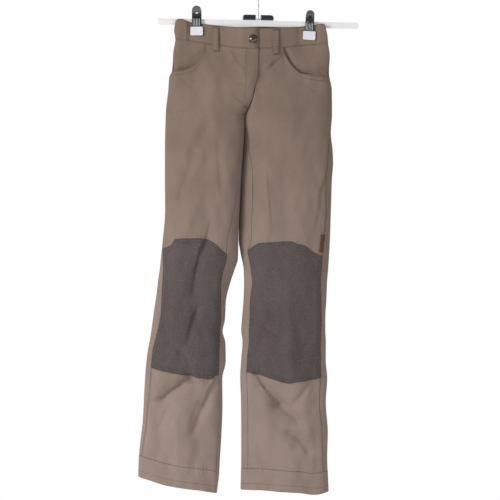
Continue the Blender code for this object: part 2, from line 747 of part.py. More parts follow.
def make_waistband():
    """The band in three lengths: two fronts that lap at the button, and the back."""
    downs = np.array([0, 6, 14, 24, 31, BAND_HEIGHT - SEAM_GAP / 2])[:, None]
    for side, name in ((RIGHT_SIDE, "waistband_front_right"), (LEFT_SIDE, "waistband_front_left")):
        turns = band_turns(side, FRONT, downs)
        lift = lift_over_fly(side, turns, downs)
        cut_piece(name, side, turns, downs, BAND, proud=BAND_PROUD, lift=lift)
    halves = []
    for side in (RIGHT_SIDE, LEFT_SIDE):
        turns = band_turns(side, BACK, downs)
        out = outward(side, turns, downs)
        halves.append((cloth(side, turns, downs), out))
    face = np.concatenate([halves[0][0][:, :-1], halves[1][0][:, ::-1]], axis=1)
    out = np.concatenate([halves[0][1][:, :-1], halves[1][1][:, ::-1]], axis=1)
    face = face + out * BAND_PROUD
    wall("waistband_back", face, face - out * BAND, "cloth")


def make_hem(side, name, front, back):
    """The turned-up band at the foot of a leg, one ring, with a column under each of the panels' columns."""
    turns = np.concatenate([front["turns"][-1], back["turns"][-1, 1:-1]])
    downs = np.array([HEM_SEAM + SEAM_GAP / 2, 891, HEM])[:, None]
    cut_piece(name, side, turns, downs, HEM_BAND, proud=HEM_PROUD, round_it=True)


def make_patch(name, front):
    """A knee patch, made from the points of the front that it lies on, moved out."""
    rows = slice(*knee_rows())
    face, out = front["face"][rows], front["out"][rows]
    wall(name, face + out * (LAYER_GAP + PATCH), face + out * LAYER_GAP, "patch")


def make_loop(name, x, face, bow):
    """A belt loop: a strip over the band, sewn down past its lower seam and bowed between its ends."""
    side = RIGHT_SIDE if x < -20 else LEFT_SIDE
    share = np.linspace(0, 1, 8)[:, None]
    downs = LOOP_LENGTH[0] + (LOOP_LENGTH[1] - LOOP_LENGTH[0]) * share
    across = x + LOOP_HALF_WIDTH * np.array([-1, 0, 1])
    turns = turn_at(side, across, downs, face)
    out = outward(side, turns, downs)
    stand = BAND_PROUD + LAYER_GAP + 0.15 + bow * np.sin(math.pi * share)[..., None] ** 2
    under = cloth(side, turns, downs) + out * stand
    wall(name, under + out * LOOP, under, "cloth")


def make_tab():
    """The leather tab, on the left front beside the outseam, its top leaning a little outwards."""
    share = np.linspace(0, 1, 5)[:, None]
    downs = TAB["down"][0] + (TAB["down"][1] - TAB["down"][0]) * share
    x = np.linspace(*TAB["x"], 3) + TAB["lean"] * (1 - share)
    turns = turn_at(LEFT_SIDE, x, downs)
    out = outward(LEFT_SIDE, turns, downs)
    under = cloth(LEFT_SIDE, turns, downs) + out * TAB["stand"]
    wall("leather_tab", under + out * TAB["thickness"], under, "leather")


def turned(profile, sides):
    """Points and faces of a profile of (radius, height) turned round +Z, closed at both ends."""
    angles = np.linspace(0, 2 * math.pi, sides, endpoint=False)
    circle = np.stack([np.cos(angles), np.sin(angles), np.zeros(sides)], axis=1)
    rings = [circle * r + np.array([0, 0, h]) for r, h in profile]
    points = np.concatenate(rings)
    faces = grid_faces(len(profile), sides, 0, True)
    faces.append(tuple(range(sides)))
    faces.append(tuple(range(len(points) - sides, len(points))))
    return points, faces


def make_button():
    """A domed metal button with a rolled rim, square to the band under it."""
    side = RIGHT_SIDE
    turn = turn_at(side, BUTTON["x"], BUTTON["down"])
    place = cloth(side, turn, BUTTON["down"])
    out = outward(side, turn, BUTTON["down"])
    place = place + out * (BAND_PROUD + BAND_LIFT + LAYER_GAP)
    r, h = BUTTON["radius"], BUTTON["height"]
    profile = [
        (0.75 * r, 0),
        (r, 0.22 * h),
        (r, 0.4 * h),
        (0.84 * r, 0.58 * h),
        (0.6 * r, 0.84 * h),
        (0.3 * r, 0.97 * h),
        (0.08 * r, h),
    ]
    points, faces = turned(profile, 20)
    sideways = np.cross(out, (0, 0, 1))
    sideways = sideways / np.linalg.norm(sideways)
    upwards = np.cross(out, sideways)
    points = place + points @ np.stack([sideways, upwards, out])
    add_object("button", mesh_of("button", points, faces), "button")


def tube(path, radii, sides):
    """Points and faces of a round bar along a path in the XZ plane, closed at both ends."""
    path = np.asarray(path, float)
    direction = np.gradient(path, axis=0)
    direction = direction / np.linalg.norm(direction, axis=1, keepdims=True)
    across = np.cross(direction, (0, 1, 0))
    angles = np.linspace(0, 2 * math.pi, sides, endpoint=False)
    circle = across[:, None] * np.cos(angles)[:, None] + np.array([0, 1.0, 0]) * np.sin(angles)[:, None]
    rings = path[:, None] + circle * np.asarray(radii)[:, None, None]
    faces = grid_faces(len(path), sides, 0, True)
    faces.append(tuple(range(sides)))
    faces.append(tuple(range((len(path) - 1) * sides, len(path) * sides)))
    return rings.reshape(-1, 3), faces


def make_hook():
    """The wire hook: a foot on the bar, a straight stem, a bend aside, and a round over the rail."""
    radius = HOOK_INSIDE + WIRE_RADIUS
    leave = math.radians(-60)
    join = np.array([radius * math.cos(leave), -HOOK_INSIDE + radius * math.sin(leave)])
    bend_end = HOOK_BEND * (1 - math.cos(math.radians(60)))
    slope_drop = (join[0] - bend_end) * math.tan(math.radians(30))
    stem_top = join[1] - slope_drop - HOOK_BEND * math.sin(math.radians(60))
    foot = -HOOK_REACH + BAR["height"] / 2 + LAYER_GAP
    path = [(0, foot), (0, foot + 1.6), (0, foot + 2.0), (0, (foot + stem_top) / 2), (0, stem_top)]
    radii = [HOOK_FOOT_RADIUS, HOOK_FOOT_RADIUS, WIRE_RADIUS, WIRE_RADIUS, WIRE_RADIUS]
    for angle in np.radians([15, 30, 45, 60]):
        path.append((HOOK_BEND * (1 - math.cos(angle)), stem_top + HOOK_BEND * math.sin(angle)))
    for angle in np.linspace(leave, math.radians(205), 24):
        path.append((radius * math.cos(angle), -HOOK_INSIDE + radius * math.sin(angle)))
    radii += [WIRE_RADIUS] * (len(path) - len(radii) - 1) + [WIRE_RADIUS * 0.6]
    points, faces = tube([(x, 0, z) for x, z in path], radii, 8)
    add_object("hanger_hook", mesh_of("hanger_hook", points, faces), "wire")


def slab(outline, low_y, high_y):
    """Points and faces of an outline in the XZ plane between two depths."""
    count = len(outline)
    points = [(x, low_y, z) for x, z in outline] + [(x, high_y, z) for x, z in outline]
    faces = [tuple(range(count)), tuple(range(2 * count - 1, count - 1, -1))]
    faces += [(i, (i + 1) % count, count + (i + 1) % count, count + i) for i in range(count)]
    return np.array(points), faces


def rounded_outline(width, height, corner):
    """The outline of a rectangle with round corners, round the origin."""
    outline = []
    for quarter, (sx, sz) in enumerate(((1, 1), (-1, 1), (-1, -1), (1, -1))):
        for angle in np.radians(90 * quarter + np.linspace(0, 90, 4)):
            x = sx * (width / 2 - corner) + corner * math.cos(angle)
            z = sz * (height / 2 - corner) + corner * math.sin(angle)
            outline.append((x, z))
    return outline


def bar_down(x):
    """How far below its own middle the tilted bar is at x."""
    return x * math.tan(math.radians(BAR["tilt_degrees"]))


def tilted(points, degrees, centre):
    """Points turned in the XZ plane, clockwise seen from the front, then moved to the centre."""
    angle = math.radians(degrees)
    x, y, z = np.asarray(points, float).T
    turned_x = x * math.cos(angle) + z * math.sin(angle)
    turned_z = z * math.cos(angle) - x * math.sin(angle)
    return np.stack([turned_x, y, turned_z], axis=1) + centre


def make_bar():
    outline = rounded_outline(BAR["length"], BAR["height"], BAR["corner"])
    points, faces = slab(outline, -BAR["thickness"] / 2, BAR["thickness"] / 2)
    points = tilted(points, BAR["tilt_degrees"], (0, 0, -HOOK_REACH))
    add_object("hanger_bar", mesh_of("hanger_bar", points, faces), "bar")


def add_bevel(thing, width, segments):
    bevel = thing.modifiers.new("rounding", "BEVEL")
    bevel.width = width * MM
    bevel.segments = segments
    bevel.limit_method = "ANGLE"


def make_block(side, name):
    """One half of the block on the bar in which the hook turns, rounded at its outer end."""
    height, length = BLOCK["height"], BLOCK["length"]
    outline = [(0, 0), (0, height)]
    outline += [
        (length - height * 0.55 * (1 - math.sin(a)), height * 0.45 + height * 0.55 * math.cos(a))
        for a in np.radians([0, 30, 60, 90])
    ]
    outline.append((length, 0))
    outline = [(side * (BLOCK["inner"] + x), z) for x, z in outline]
    points, faces = slab(outline, -BLOCK["depth"] / 2, BLOCK["depth"] / 2)
    centre = (0, 0, -HOOK_REACH)
    points = points + np.array([0, 0, BAR["height"] / 2 + LAYER_GAP])
    block = add_object(name, mesh_of(name, tilted(points, BAR["tilt_degrees"], centre), faces), "dark_steel")
    add_bevel(block, 1.5, 2)


def clip_plate(width, front):
    """A clip's plate, from its tip up to its round-topped lever, which bends away from the cloth."""
    top = PLATE["height"]
    heights = np.array([0, 8, 16, PLATE["height"] - PLATE["lever"], 27, 32, 36.5, 39, top])
    half = width / 2
    rounding = np.clip((heights - (top - half)) / half, 0, 1)
    halves = np.maximum(half * np.sqrt(1 - (0.97 * rounding) ** 2), 0)
    bend = np.clip((heights - (top - PLATE["lever"])) / PLATE["lever"], 0, 1) ** 1.5
    away = PLATE["spread"] * bend
    x = halves[:, None] * np.array([-1, 0, 1])
    z = np.broadcast_to(heights[:, None], x.shape)
    y = front * np.broadcast_to(away[:, None], x.shape)
    return np.stack([x, y, z], axis=-1)


def make_clip(word, x, tip_down, lean_degrees, width):
    """A clip: two soft tips that pinch the band, two steel plates, and the spring over the bar."""
    across = x + TIP["width"] / 2 * np.array([-1, 0, 1])
    pinched = read(WAIST, "x", "half", across).max() + BAND_PROUD + LAYER_GAP
    centre = np.array([x, 0, -(HOOK_REACH + tip_down)])
    for face, where in ((FRONT, "front"), (BACK, "back")):
        outline = rounded_outline(TIP["width"], TIP["height"], 2.2)
        points, faces = slab(outline, face * pinched, face * (pinched + TIP["thickness"]))
        name = f"clip_{word}_{where}_tip"
        add_object(name, mesh_of(name, tilted(points, lean_degrees, centre), faces), "tip")

        plate = clip_plate(width, face)
        plate = plate + np.array([0, 0, TIP["height"] / 2 + LAYER_GAP])
        inside = plate + np.array([0, face * (pinched + 1.0), 0])
        outside = inside + np.array([0, face * PLATE["thickness"], 0])
        shape = plate.shape
        name = f"clip_{word}_{where}_plate"
        outside = tilted(outside.reshape(-1, 3), lean_degrees, centre).reshape(shape)
        inside = tilted(inside.reshape(-1, 3), lean_degrees, centre).reshape(shape)
        wall(name, outside, inside, "dark_steel")
    radius = pinched + 1.0 - LAYER_GAP
    points, faces = turned([(radius, -SPRING_LENGTH / 2), (radius, SPRING_LENGTH / 2)], 12)
    points = points[:, [2, 0, 1]]
    height = BAR["height"] / 2 + radius + LAYER_GAP - bar_down(x)
    leaning = (height + tip_down) * math.sin(math.radians(lean_degrees))
    spring_centre = (x + leaning, 0, height - HOOK_REACH)
    name = f"clip_{word}_spring"
    add_object(name, mesh_of(name, tilted(points, BAR["tilt_degrees"], spring_centre), faces), "dark_steel")


def make_trousers():
    for side, word in ((RIGHT_SIDE, "right"), (LEFT_SIDE, "left")):
        front = make_front(side, f"front_{word}")
        back = make_back(side, f"back_{word}", front)
        make_facing(side, f"pocket_facing_{word}")
        make_hem(side, f"hem_{word}", front, back)
        make_patch(f"knee_patch_{word}", front)
    make_waistband()
    for name, loop in LOOPS.items():
        make_loop(name, **loop)
    make_tab()
    make_button()


def make_hanger():
    make_bar()
    make_block(RIGHT_SIDE, "hanger_block_right")
    make_block(LEFT_SIDE, "hanger_block_left")
    make_hook()
    for word, clip in CLIPS.items():
        make_clip(word, **clip)


for thing in list(bpy.data.objects):
    bpy.data.objects.remove(thing, do_unlink=True)
make_trousers()
make_hanger()
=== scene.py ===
"""How the hiking trousers look: fine cloth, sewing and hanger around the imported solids, on a pale ground.

The cloth is the same surface that the solids are cut from, here with its small creases and its sewing.
A place on it has three numbers:
  leg   the right or the left half of the trousers, as the wearer has them
  turn  how far round the half, in radians: 0 is its outer edge, pi its inner edge seen from the front,
        and from pi to 2 pi it comes back along the back
  down  how far below the hanger's bar it hangs, in millimetres, before the waist and the hem droop
The tables are in millimetres. The front faces -Y, and the origin is inside the hanger's hook.
"""

import math

import bpy
import numpy as np
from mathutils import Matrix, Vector


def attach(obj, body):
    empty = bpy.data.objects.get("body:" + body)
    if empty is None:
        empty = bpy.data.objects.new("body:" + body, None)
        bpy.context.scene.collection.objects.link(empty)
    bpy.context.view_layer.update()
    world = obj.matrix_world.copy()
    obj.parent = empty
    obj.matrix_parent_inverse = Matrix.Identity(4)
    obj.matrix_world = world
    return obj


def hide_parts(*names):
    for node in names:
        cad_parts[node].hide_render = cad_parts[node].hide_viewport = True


MM = 0.001

# The hanger hangs the trousers this far below the rail, from the inside of the hook to the bar's middle.
HOOK_REACH = 100.0

# Heights on the cloth, in millimetres down from the bar.
BAND_HEIGHT = 38.0
DROOP_ENDS = 110.0
OPENS_FROM = 40.0
OPENS_TO = 120.0
CLOSES_FROM = 115.0
CROTCH = 177.0
KNEE_STARTS = 422.0
HEM_SEAM = 870.0
HEM = 912.0

# Thicknesses and clearances.
CLOTH = 1.3
BAND = 2.4
BAND_PROUD = 0.4
HEM_BAND = 2.2
HEM_PROUD = 0.3
PATCH = 1.0
LOOP = 1.2
SEAM_GAP = 0.4
WAIST_GAP = 1.2
LAYER_GAP = 0.35

# How square the sections are: 2 is an ellipse.
BODY_SQUARENESS = 2.4
LEG_SQUARENESS = 2.3
WAIST_SQUARENESS = 5.0

# The legs hang one a little in front of the other where they meet, and cross by this much.
LEG_STEP = 7.0
LEG_CROSSING = 0.3

RIGHT_SIDE, LEFT_SIDE = -1, 1
FRONT, BACK = -1, 1
TINY = 1e-6


def table(names, *rows):
    """The rows as a dictionary of named columns."""
    return dict(zip(names.split(), np.array(rows, float).T))


# Each leg seen from the front: its outer and inner edge (x), and how far in from those edges the two
# seams lie on the front.
RIGHT_LEG = table(
    "down outer inner outseam inseam",
    (0, -160, -25, 0, 0),
    (20, -163, -25, 0, 0),
    (38, -161, -25, 0, 0),
    (61, -165, -25, 0, 0),
    (95, -168, -25, 0, 0),
    (106, -173, -25, 0, 0),
    (130, -175, -25, 0, 0),
    (177, -180, -25.4, 0, 0),
    (247, -181, -29, 0, 4),
    (305, -181, -33, 0, 5),
    (364, -180.5, -36, 0, 10),
    (422, -185, -38.5, 1, 20),
    (457, -188.5, -39, 5, 22),
    (481, -191, -46, 8, 21),
    (504, -194, -53.5, 10, 18),
    (539, -198, -62, 12, 10),
    (575, -203, -64, 14, 8),
    (598, -206, -68.5, 14, 5),
    (621, -209, -63, 12, 10),
    (655, -215, -62.5, 12, 12),
    (691, -219, -69.5, 12, 6),
    (738, -222, -69, 10, 6),
    (797, -225, -71, 8, 6),
    (843, -230, -74, 7, 6),
    (870, -232.5, -75.5, 6, 6),
    (912, -234, -80.5, 5, 6),
)
LEFT_LEG = table(
    "down outer inner outseam inseam",
    (0, 129, -25, 0, 0),
    (20, 134.5, -25, 0, 0),
    (38, 136.5, -25, 0, 0),
    (61, 140, -25, 0, 0),
    (96, 138.5, -25, 0, 0),
    (106, 139.5, -25, 0, 0),
    (130, 144, -25, 0, 0),
    (177, 144.5, -25.4, 1, 0),
    (212, 142.5, -27, 2, 6),
    (247, 146, -29, 8, 12),
    (270, 147, -31, 10, 18),
    (305, 144.5, -33, 11, 23),
    (364, 142.5, -36, 10, 25),
    (422, 140.5, -37.5, 12, 24),
    (447, 139, -34, 14, 14),
    (481, 136.5, -28, 14, 14),
    (504, 134.5, -27.5, 14, 16),
    (539, 133, -28.5, 12, 13),
    (575, 131, -31.5, 10, 15),
    (598, 131, -33, 11, 15),
    (621, 132, -30.5, 12, 13),
    (655, 132, -33, 11, 12),
    (691, 135, -35, 12, 13),
    (738, 132.5, -33.5, 11, 13),
    (797, 136.5, -33, 11, 13),
    (843, 135.5, -33, 10, 13),
    (912, 138, -34, 8, 13),
)

# The centre seams above the crotch (x): the edge of the fly in front, and the seat seam behind.
CENTRE_SEAMS = table(
    "down fly seat",
    (0, 1, -14),
    (60, 1, -15),
    (98, 0.5, -16),
    (130, -6, -18),
    (153, -12, -21),
    (177, -25.4, -25.4),
)

# Seen from the side: how far the front and the back stand off the middle, and where the middle is (y).
DEPTHS = table(
    "down front back middle",
    (0, 14, 14, 0),
    (61, 19, 25, 0),
    (98, 26, 36, 1),
    (130, 31, 43, 2),
    (177, 37, 48, 3),
    (247, 38, 44, 2),
    (305, 37, 41, 0),
    (364, 36, 38, -2),
    (422, 36, 36, -4),
    (481, 37, 34, -6),
    (539, 38, 33, -8),
    (598, 38, 32, -8),
    (655, 35, 32, -5),
    (691, 32, 32, -1),
    (738, 30, 30, 3),
    (797, 27, 28, 6),
    (870, 25, 25, 8),
    (912, 24, 24, 9),
)

# The waistband from end to end: half its depth, pinched to a flat double layer in the two clips, where
# its middle is (y), and how far the top edge of its front, the top edge of its back and its lower seam
# droop. The front's top edge passes before the bar at both ends. The back goes under the bar beside
# each clip, and its top edge shows under the bar in the middle.
WAIST = table(
    "x half middle top back_top seam",
    (-164, 5.6, -7.6, -3, -3, -7.5),
    (-154, 5.6, -7.6, -7.5, -7.5, -7),
    (-147, 4.6, -7, -7.6, -8, -6),
    (-142.5, 3.9, -6.6, -6, -4, -5.7),
    (-140, 4, -6.2, -4.9, 3.2, -5.3),
    (-133.5, 4, -0.4, -2.6, 3.6, -4.8),
    (-125, 3.6, 0, -0.8, 3.8, -3),
    (-105, 3.4, 0, 1.2, 4.2, 0.4),
    (-98, 3.6, 0, 2.3, 4.3, 2.5),
    (-75, 7, 0, 5, 5, 4.5),
    (-49, 11, 0, 7.4, 4.7, 9),
    (-17, 14, 0, 10, 4.4, 12.5),
    (27, 14, 0, 10.8, 4.6, 10.6),
    (45, 12, 0, 9.2, 5.4, 10.2),
    (72, 6.5, 0, 7.6, 8.4, 6.8),
    (82, 3.6, 0, 6.6, 8.6, 5.2),
    (86, 3.4, 0, 6.1, 8.7, 4.6),
    (106, 3.7, 0, 4.2, 9.2, 3),
    (113, 4.2, -0.4, 3.4, 9.4, 2.4),
    (118.5, 4.6, -6.2, 2.2, 9.2, 2.2),
    (121, 4.8, -7.2, 1.8, 3, 2),
    (125, 5, -7.4, 1.8, 1.8, 1.8),
    (137, 5.6, -7.6, 3, 3, 1.5),
)
WAIST_MIDDLE_ENDS = (8.0, 70.0)

# The hems: how far each hangs below the level, from the leg's outer edge (0) to its inner edge (1).
HEMS = table(
    "across right left",
    (0, -28, 1),
    (0.18, -21, 6),
    (0.35, -13, 1.5),
    (0.6, -6.5, -1),
    (0.8, -2.5, -3.5),
    (1, 4.5, -2.5),
)

# The pocket mouths, from the side seam to the waist seam.
RIGHT_MOUTH = table(
    "x down",
    (-180, 99.5),
    (-162, 97),
    (-140, 93.5),
    (-129, 88.5),
    (-118, 79),
    (-111, 69.5),
    (-104.5, 60),
)
LEFT_MOUTH = table(
    "x down",
    (51.5, 47),
    (53, 52),
    (56, 61),
    (60, 71),
    (66, 82),
    (73.5, 92.5),
    (79.5, 98),
    (90, 101.5),
    (105, 103.5),
    (145, 106),
)
RIGHT_MOUTH_CORNER = -103.0
LEFT_MOUTH_CORNER = 51.0
RIGHT_MOUTH_END = 99.0
LEFT_MOUTH_END = 106.0
MOUTH_GAPE = 3.0
MOUTH_GAPE_REACH = 14.0
FACING_TUCK = 7.0
FACING_SINK = 6.0
FACING_SINK_SHARE = 0.6
LEAST_SINK = 2.4
FACING_SINKS_OVER = (26.0, 9.0)
CORNER_LEVEL = 60.0

# The knee patches: top and bottom edge, from the leg's outer edge (0) to its inner edge (1).
RIGHT_PATCH = table(
    "across top bottom",
    (0, 441, 683),
    (0.13, 431, 685),
    (0.18, 421, 686),
    (0.48, 419, 688),
    (0.6, 421.5, 690),
    (0.7, 430, 692),
    (0.82, 446, 692),
    (0.93, 455, 684),
)
LEFT_PATCH = table(
    "across top bottom",
    (0.08, 453, 687),
    (0.19, 443, 690),
    (0.28, 433, 693),
    (0.38, 429.5, 696),
    (0.45, 425, 699.5),
    (0.65, 427, 691),
    (0.77, 428.5, 686),
    (0.92, 449, 680),
)

# The largest folds of each front and back: a straight trough (depth over 0) or ridge (depth under 0)
# from one place to another, with the distance at which it has faded to a third.
FOLD_COLUMNS = "x1 down1 x2 down2 width depth"
FRONT_FOLDS = table(
    FOLD_COLUMNS,
    (-135, 688, -184, 729, 10, 9),
    (-172, 741, -192, 783, 11, 4),
    (-76, 685, -105, 742, 10, 4),
    (-105, 742, -125, 790, 10, 4),
    (-132, 694, -99, 696, 8, 4),
    (-100, 210, -98, 420, 17, 5),
    (-127, 254, -158, 403, 13, 3.5),
    (-101, 430, -124, 520, 10, 3),
    (-118, 557, -136, 619, 10, 3),
    (-170, 627, -135, 660, 10, 3),
    (52, 62, 9, 104, 11, 3),
    (9, 104, 1, 128, 11, 3),
    (-2, 685, 39, 742, 11, 8),
    (39, 742, 76, 773, 11, 8),
    (61, 799, 95, 832, 10, 6),
    (104, 698, 72, 738, 11, 3),
    (57, 276, 57, 403, 17, 4),
    (58, 440, 58, 680, 13, -3),
    (17, 595, 43, 612, 10, 3),
)
BACK_FOLDS = table(
    FOLD_COLUMNS,
    (-150, 196, -60, 226, 16, 5),
    (112, 198, 15, 222, 16, 5),
    (-120, 250, -128, 400, 18, 4),
    (60, 262, 52, 408, 18, 4),
    (-186, 560, -100, 585, 12, 6),
    (-92, 604, -165, 628, 12, 5),
    (118, 566, 30, 582, 12, 6),
    (-8, 612, 74, 630, 12, 5),
    (-190, 700, -120, 745, 14, 5),
    (106, 712, 30, 752, 14, 5),
)


# The lap of the right front over the left front: its width, and how far it is lifted.
BAND_LAP = 25.0
FLY_LAP = 8.0
FLY_LAP_ENDS = 105.0
BAND_LIFT = 2.8
FLY_LIFT = 1.8
LIFT_STARTS = 42.0
LIFT_WIDTH = 12.0

# The hanger.
BAR = {"length": 391.0, "height": 12.0, "thickness": 2.0, "tilt_degrees": 1.36, "corner": 3.0}
WIRE_RADIUS = 1.75
HOOK_INSIDE = 21.0
HOOK_BEND = 10.0
HOOK_FOOT_RADIUS = 3.8
CLIPS = {
    "right": {"x": -119.5, "tip_down": 15.7, "lean_degrees": 0.0, "width": 18.3},
    "left": {"x": 99.5, "tip_down": 24.4, "lean_degrees": 3.0, "width": 16.5},
}
TIP = {"width": 24.0, "height": 16.6, "thickness": 3.2}
PLATE = {"height": 40.0, "thickness": 1.4, "lever": 18.0, "spread": 4.5}
SPRING_LENGTH = 13.0

# Small pieces on the cloth (x, down, sizes).
BUTTON = {"x": -9.0, "down": 21.0, "radius": 8.8, "height": 4.2}
LOOP_LENGTH = (1.5, 53.0)
LOOP_HALF_WIDTH = 6.2
LOOPS = {
    "belt_loop_front_right": {"x": -82.5, "face": FRONT, "bow": 2.2},
    "belt_loop_front_left": {"x": 34.5, "face": FRONT, "bow": 1.0},
    "belt_loop_back_right": {"x": -84.0, "face": BACK, "bow": 1.2},
    "belt_loop_back_left": {"x": 56.0, "face": BACK, "bow": 1.2},
    "belt_loop_centre_back": {"x": -21.5, "face": BACK, "bow": 1.2},
}
TAB = {"x": (118.0, 126.0), "down": (412.0, 446.0), "lean": 3.5, "stand": 0.5, "thickness": 1.4}


def read(source, key, name, at):
    """A column at any place along the key column, on a smooth curve that never overshoots a row."""
    x = source[key]
    y = source[name]
    chord = np.diff(y) / np.diff(x)
    before, after = chord[:-1], chord[1:]
    same_way = before * after > 0
    inner = np.where(same_way, 2 * before * after / np.where(same_way, before + after, 1), 0)
    slope = np.concatenate([chord[:1], inner, chord[-1:]])
    at = np.clip(at, x[0], x[-1])
    i = np.clip(np.searchsorted(x, at, side="right") - 1, 0, len(x) - 2)
    width = x[i + 1] - x[i]
    t = (at - x[i]) / width
    start = (1 + 2 * t) * (1 - t) ** 2 * y[i] + t * (1 - t) ** 2 * width * slope[i]
    end = t * t * (3 - 2 * t) * y[i + 1] + t * t * (t - 1) * width * slope[i + 1]
    return start + end


def rise(at, start, end):
    """0 before start, 1 after end, and a soft step between them."""
    t = np.clip((at - start) / (end - start), 0, 1)
    return t * t * (3 - 2 * t)


def closing(down):
    """How far the inner side has come round to the middle: 0 above, 1 from the crotch down."""
    return np.clip((down - CLOSES_FROM) / (CROTCH - CLOSES_FROM), 0, 1) ** 2


def squared(part, squareness):
    """The height of a squared ellipse at a part, from -1 to 1, of its half width."""
    return (1 - np.clip(np.abs(part), 0, 1) ** squareness) ** (1 / squareness)


def leg_table(side):
    """The table of one leg's edges and seams."""
    return RIGHT_LEG if side == RIGHT_SIDE else LEFT_LEG


def meeting(down):
    """How far the legs have come to hang one before the other, from 0 to 1."""
    return rise(down, CROTCH, 232) * (1 - rise(down, KNEE_STARTS, 500))


def lap(down):
    """How far the left side runs on under the right one, at the band and at the fly."""
    in_band = down < BAND_HEIGHT + WAIST_GAP / 2
    return np.where(in_band, BAND_LAP, FLY_LAP * (1 - rise(down, FLY_LAP_ENDS - 21, FLY_LAP_ENDS)))


def edges(side, face, down):
    """The outer and inner edge of one half (x). The halves overlap a little from the crotch to the knee."""
    leg = leg_table(side)
    outer = read(leg, "down", "outer", down)
    seam = np.where(
        face == FRONT,
        read(CENTRE_SEAMS, "down", "fly", down),
        read(CENTRE_SEAMS, "down", "seat", down),
    )
    closed_up = rise(down, CROTCH - 12, CROTCH + 6) * (1 - rise(down, KNEE_STARTS, 500))
    apart = SEAM_GAP / 2 - (SEAM_GAP / 2 + LEG_CROSSING) * closed_up
    under = np.where((face == FRONT) & (side == LEFT_SIDE), lap(down), 0)
    inner = np.where(down < CROTCH, seam - under, read(leg, "down", "inner", down))
    return outer, inner + side * apart


def reach_of_turn(turn, down):
    """1 at the outer edge and -1 at the inner edge, for a turn from 0 to pi."""
    closed = closing(down)
    return (1 - closed) * (2 * np.cos(turn / 2) - 1) + closed * np.cos(turn)


def turn_of_reach(reach, down):
    """The turn from 0 to pi at which reach_of_turn gives this reach."""
    closed = np.maximum(closing(down), TINY)
    opened = 1 - closed
    cosine = (np.sqrt(opened**2 + 2 * closed * (1 + reach)) - opened) / (2 * closed)
    return 2 * np.arccos(np.clip(cosine, 0, 1))


def turn_at(side, x, down, face=FRONT):
    """The turn of the place on one face that lies at x."""
    outer, inner = edges(side, face, down)
    reach = np.clip(1 - 2 * (x - outer) / (inner - outer), -1, 1)
    turn = turn_of_reach(reach, down)
    return turn if face == FRONT else 2 * math.pi - turn


def droop(side, face, x, across, down):
    """How much lower than its level a place hangs, from the waist's and the hem's own lines."""
    seam = read(WAIST, "x", "seam", x)
    top = np.where(face == FRONT, read(WAIST, "x", "top", x), read(WAIST, "x", "back_top", x))
    band = np.clip(1 - down / BAND_HEIGHT, 0, 1) * (top - seam)
    hem = read(HEMS, "across", "right" if side == RIGHT_SIDE else "left", across)
    hem_share = np.clip((down - KNEE_STARTS) / (HEM_SEAM - KNEE_STARTS), 0, 1)
    return band + seam * (1 - rise(down, BAND_HEIGHT, DROOP_ENDS)) + hem * hem_share


def fold_depth(folds, x, low):
    """How far the folds push the cloth in at a place, by its distance from each fold's line."""
    total = np.zeros(np.shape(x))
    for x1, low1, x2, low2, width, depth in zip(*folds.values()):
        run, fall = x2 - x1, low2 - low1
        along = np.clip(((x - x1) * run + (low - low1) * fall) / (run**2 + fall**2), 0, 1)
        away = np.hypot(x - x1 - along * run, low - low1 - along * fall)
        total = total + depth * np.exp(-((away / width) ** 2))
    return total


def cloth(side, turn, down):
    """The place of the cloth's outer face, in millimetres.

    Across a half, x runs from its outer to its inner edge by the cosine of the turn. Off the middle, y
    is a squared ellipse over both halves above the crotch, and one over each leg below it. In the
    waistband it is the WAIST table instead, closed at both ends.
    """
    turn, down = np.broadcast_arrays(np.mod(turn, 2 * math.pi), np.asarray(down, float))
    face = np.where(turn <= math.pi, FRONT, BACK)
    turn = np.where(turn <= math.pi, turn, 2 * math.pi - turn)
    outer, inner = edges(side, face, down)
    reach = reach_of_turn(turn, down)
    across = (1 - reach) / 2
    x = outer + (inner - outer) * across

    edge_right = read(RIGHT_LEG, "down", "outer", down)
    edge_left = read(LEFT_LEG, "down", "outer", down)
    part = (2 * x - edge_left - edge_right) / (edge_left - edge_right)
    closed = closing(down)
    height = (1 - closed) * squared(part, BODY_SQUARENESS) + closed * squared(reach, LEG_SQUARENESS)
    depth = np.where(face == FRONT, read(DEPTHS, "down", "front", down), read(DEPTHS, "down", "back", down))
    opened = rise(down, OPENS_FROM, OPENS_TO)
    flat = read(WAIST, "x", "half", x) * squared(part, WAIST_SQUARENESS)
    off_middle = opened * depth * height + (1 - opened) * flat

    low = down + droop(side, face, x, across, down)
    folds = np.where(face == FRONT, fold_depth(FRONT_FOLDS, x, low), fold_depth(BACK_FOLDS, x, low))
    off_middle = off_middle - folds * np.clip(off_middle / 12, 0, 1)
    middle = read(DEPTHS, "down", "middle", down) + side * LEG_STEP * meeting(down)
    middle = middle + read(WAIST, "x", "middle", x) * (1 - rise(down, *WAIST_MIDDLE_ENDS))
    y = middle + face * off_middle
    return np.stack([x, y, -(HOOK_REACH + low)], axis=-1)


def outward(side, turn, down):
    """The direction straight out of the cloth, from its slopes round the half and down it."""
    step_round, step_down = 0.01, 0.5
    turn, down = np.broadcast_arrays(turn, np.asarray(down, float))
    before, after = turn - step_round, turn + step_round
    above = down < CROTCH
    before = np.where(above & (turn > math.pi), np.maximum(before, math.pi + TINY), before)
    after = np.where(above & (turn <= math.pi), np.minimum(after, math.pi), after)
    round_it = cloth(side, after, down) - cloth(side, before, down)
    down_it = cloth(side, turn, down + step_down) - cloth(side, turn, down - step_down)
    direction = side * np.cross(round_it, down_it)
    return direction / np.linalg.norm(direction, axis=-1, keepdims=True)


def beside(side, turn, down, distance):
    """The turn that lies a distance further round the surface, in millimetres."""
    step = 0.002
    speed = np.linalg.norm(cloth(side, turn + step, down) - cloth(side, turn, down), axis=-1) / step
    return turn + distance / speed


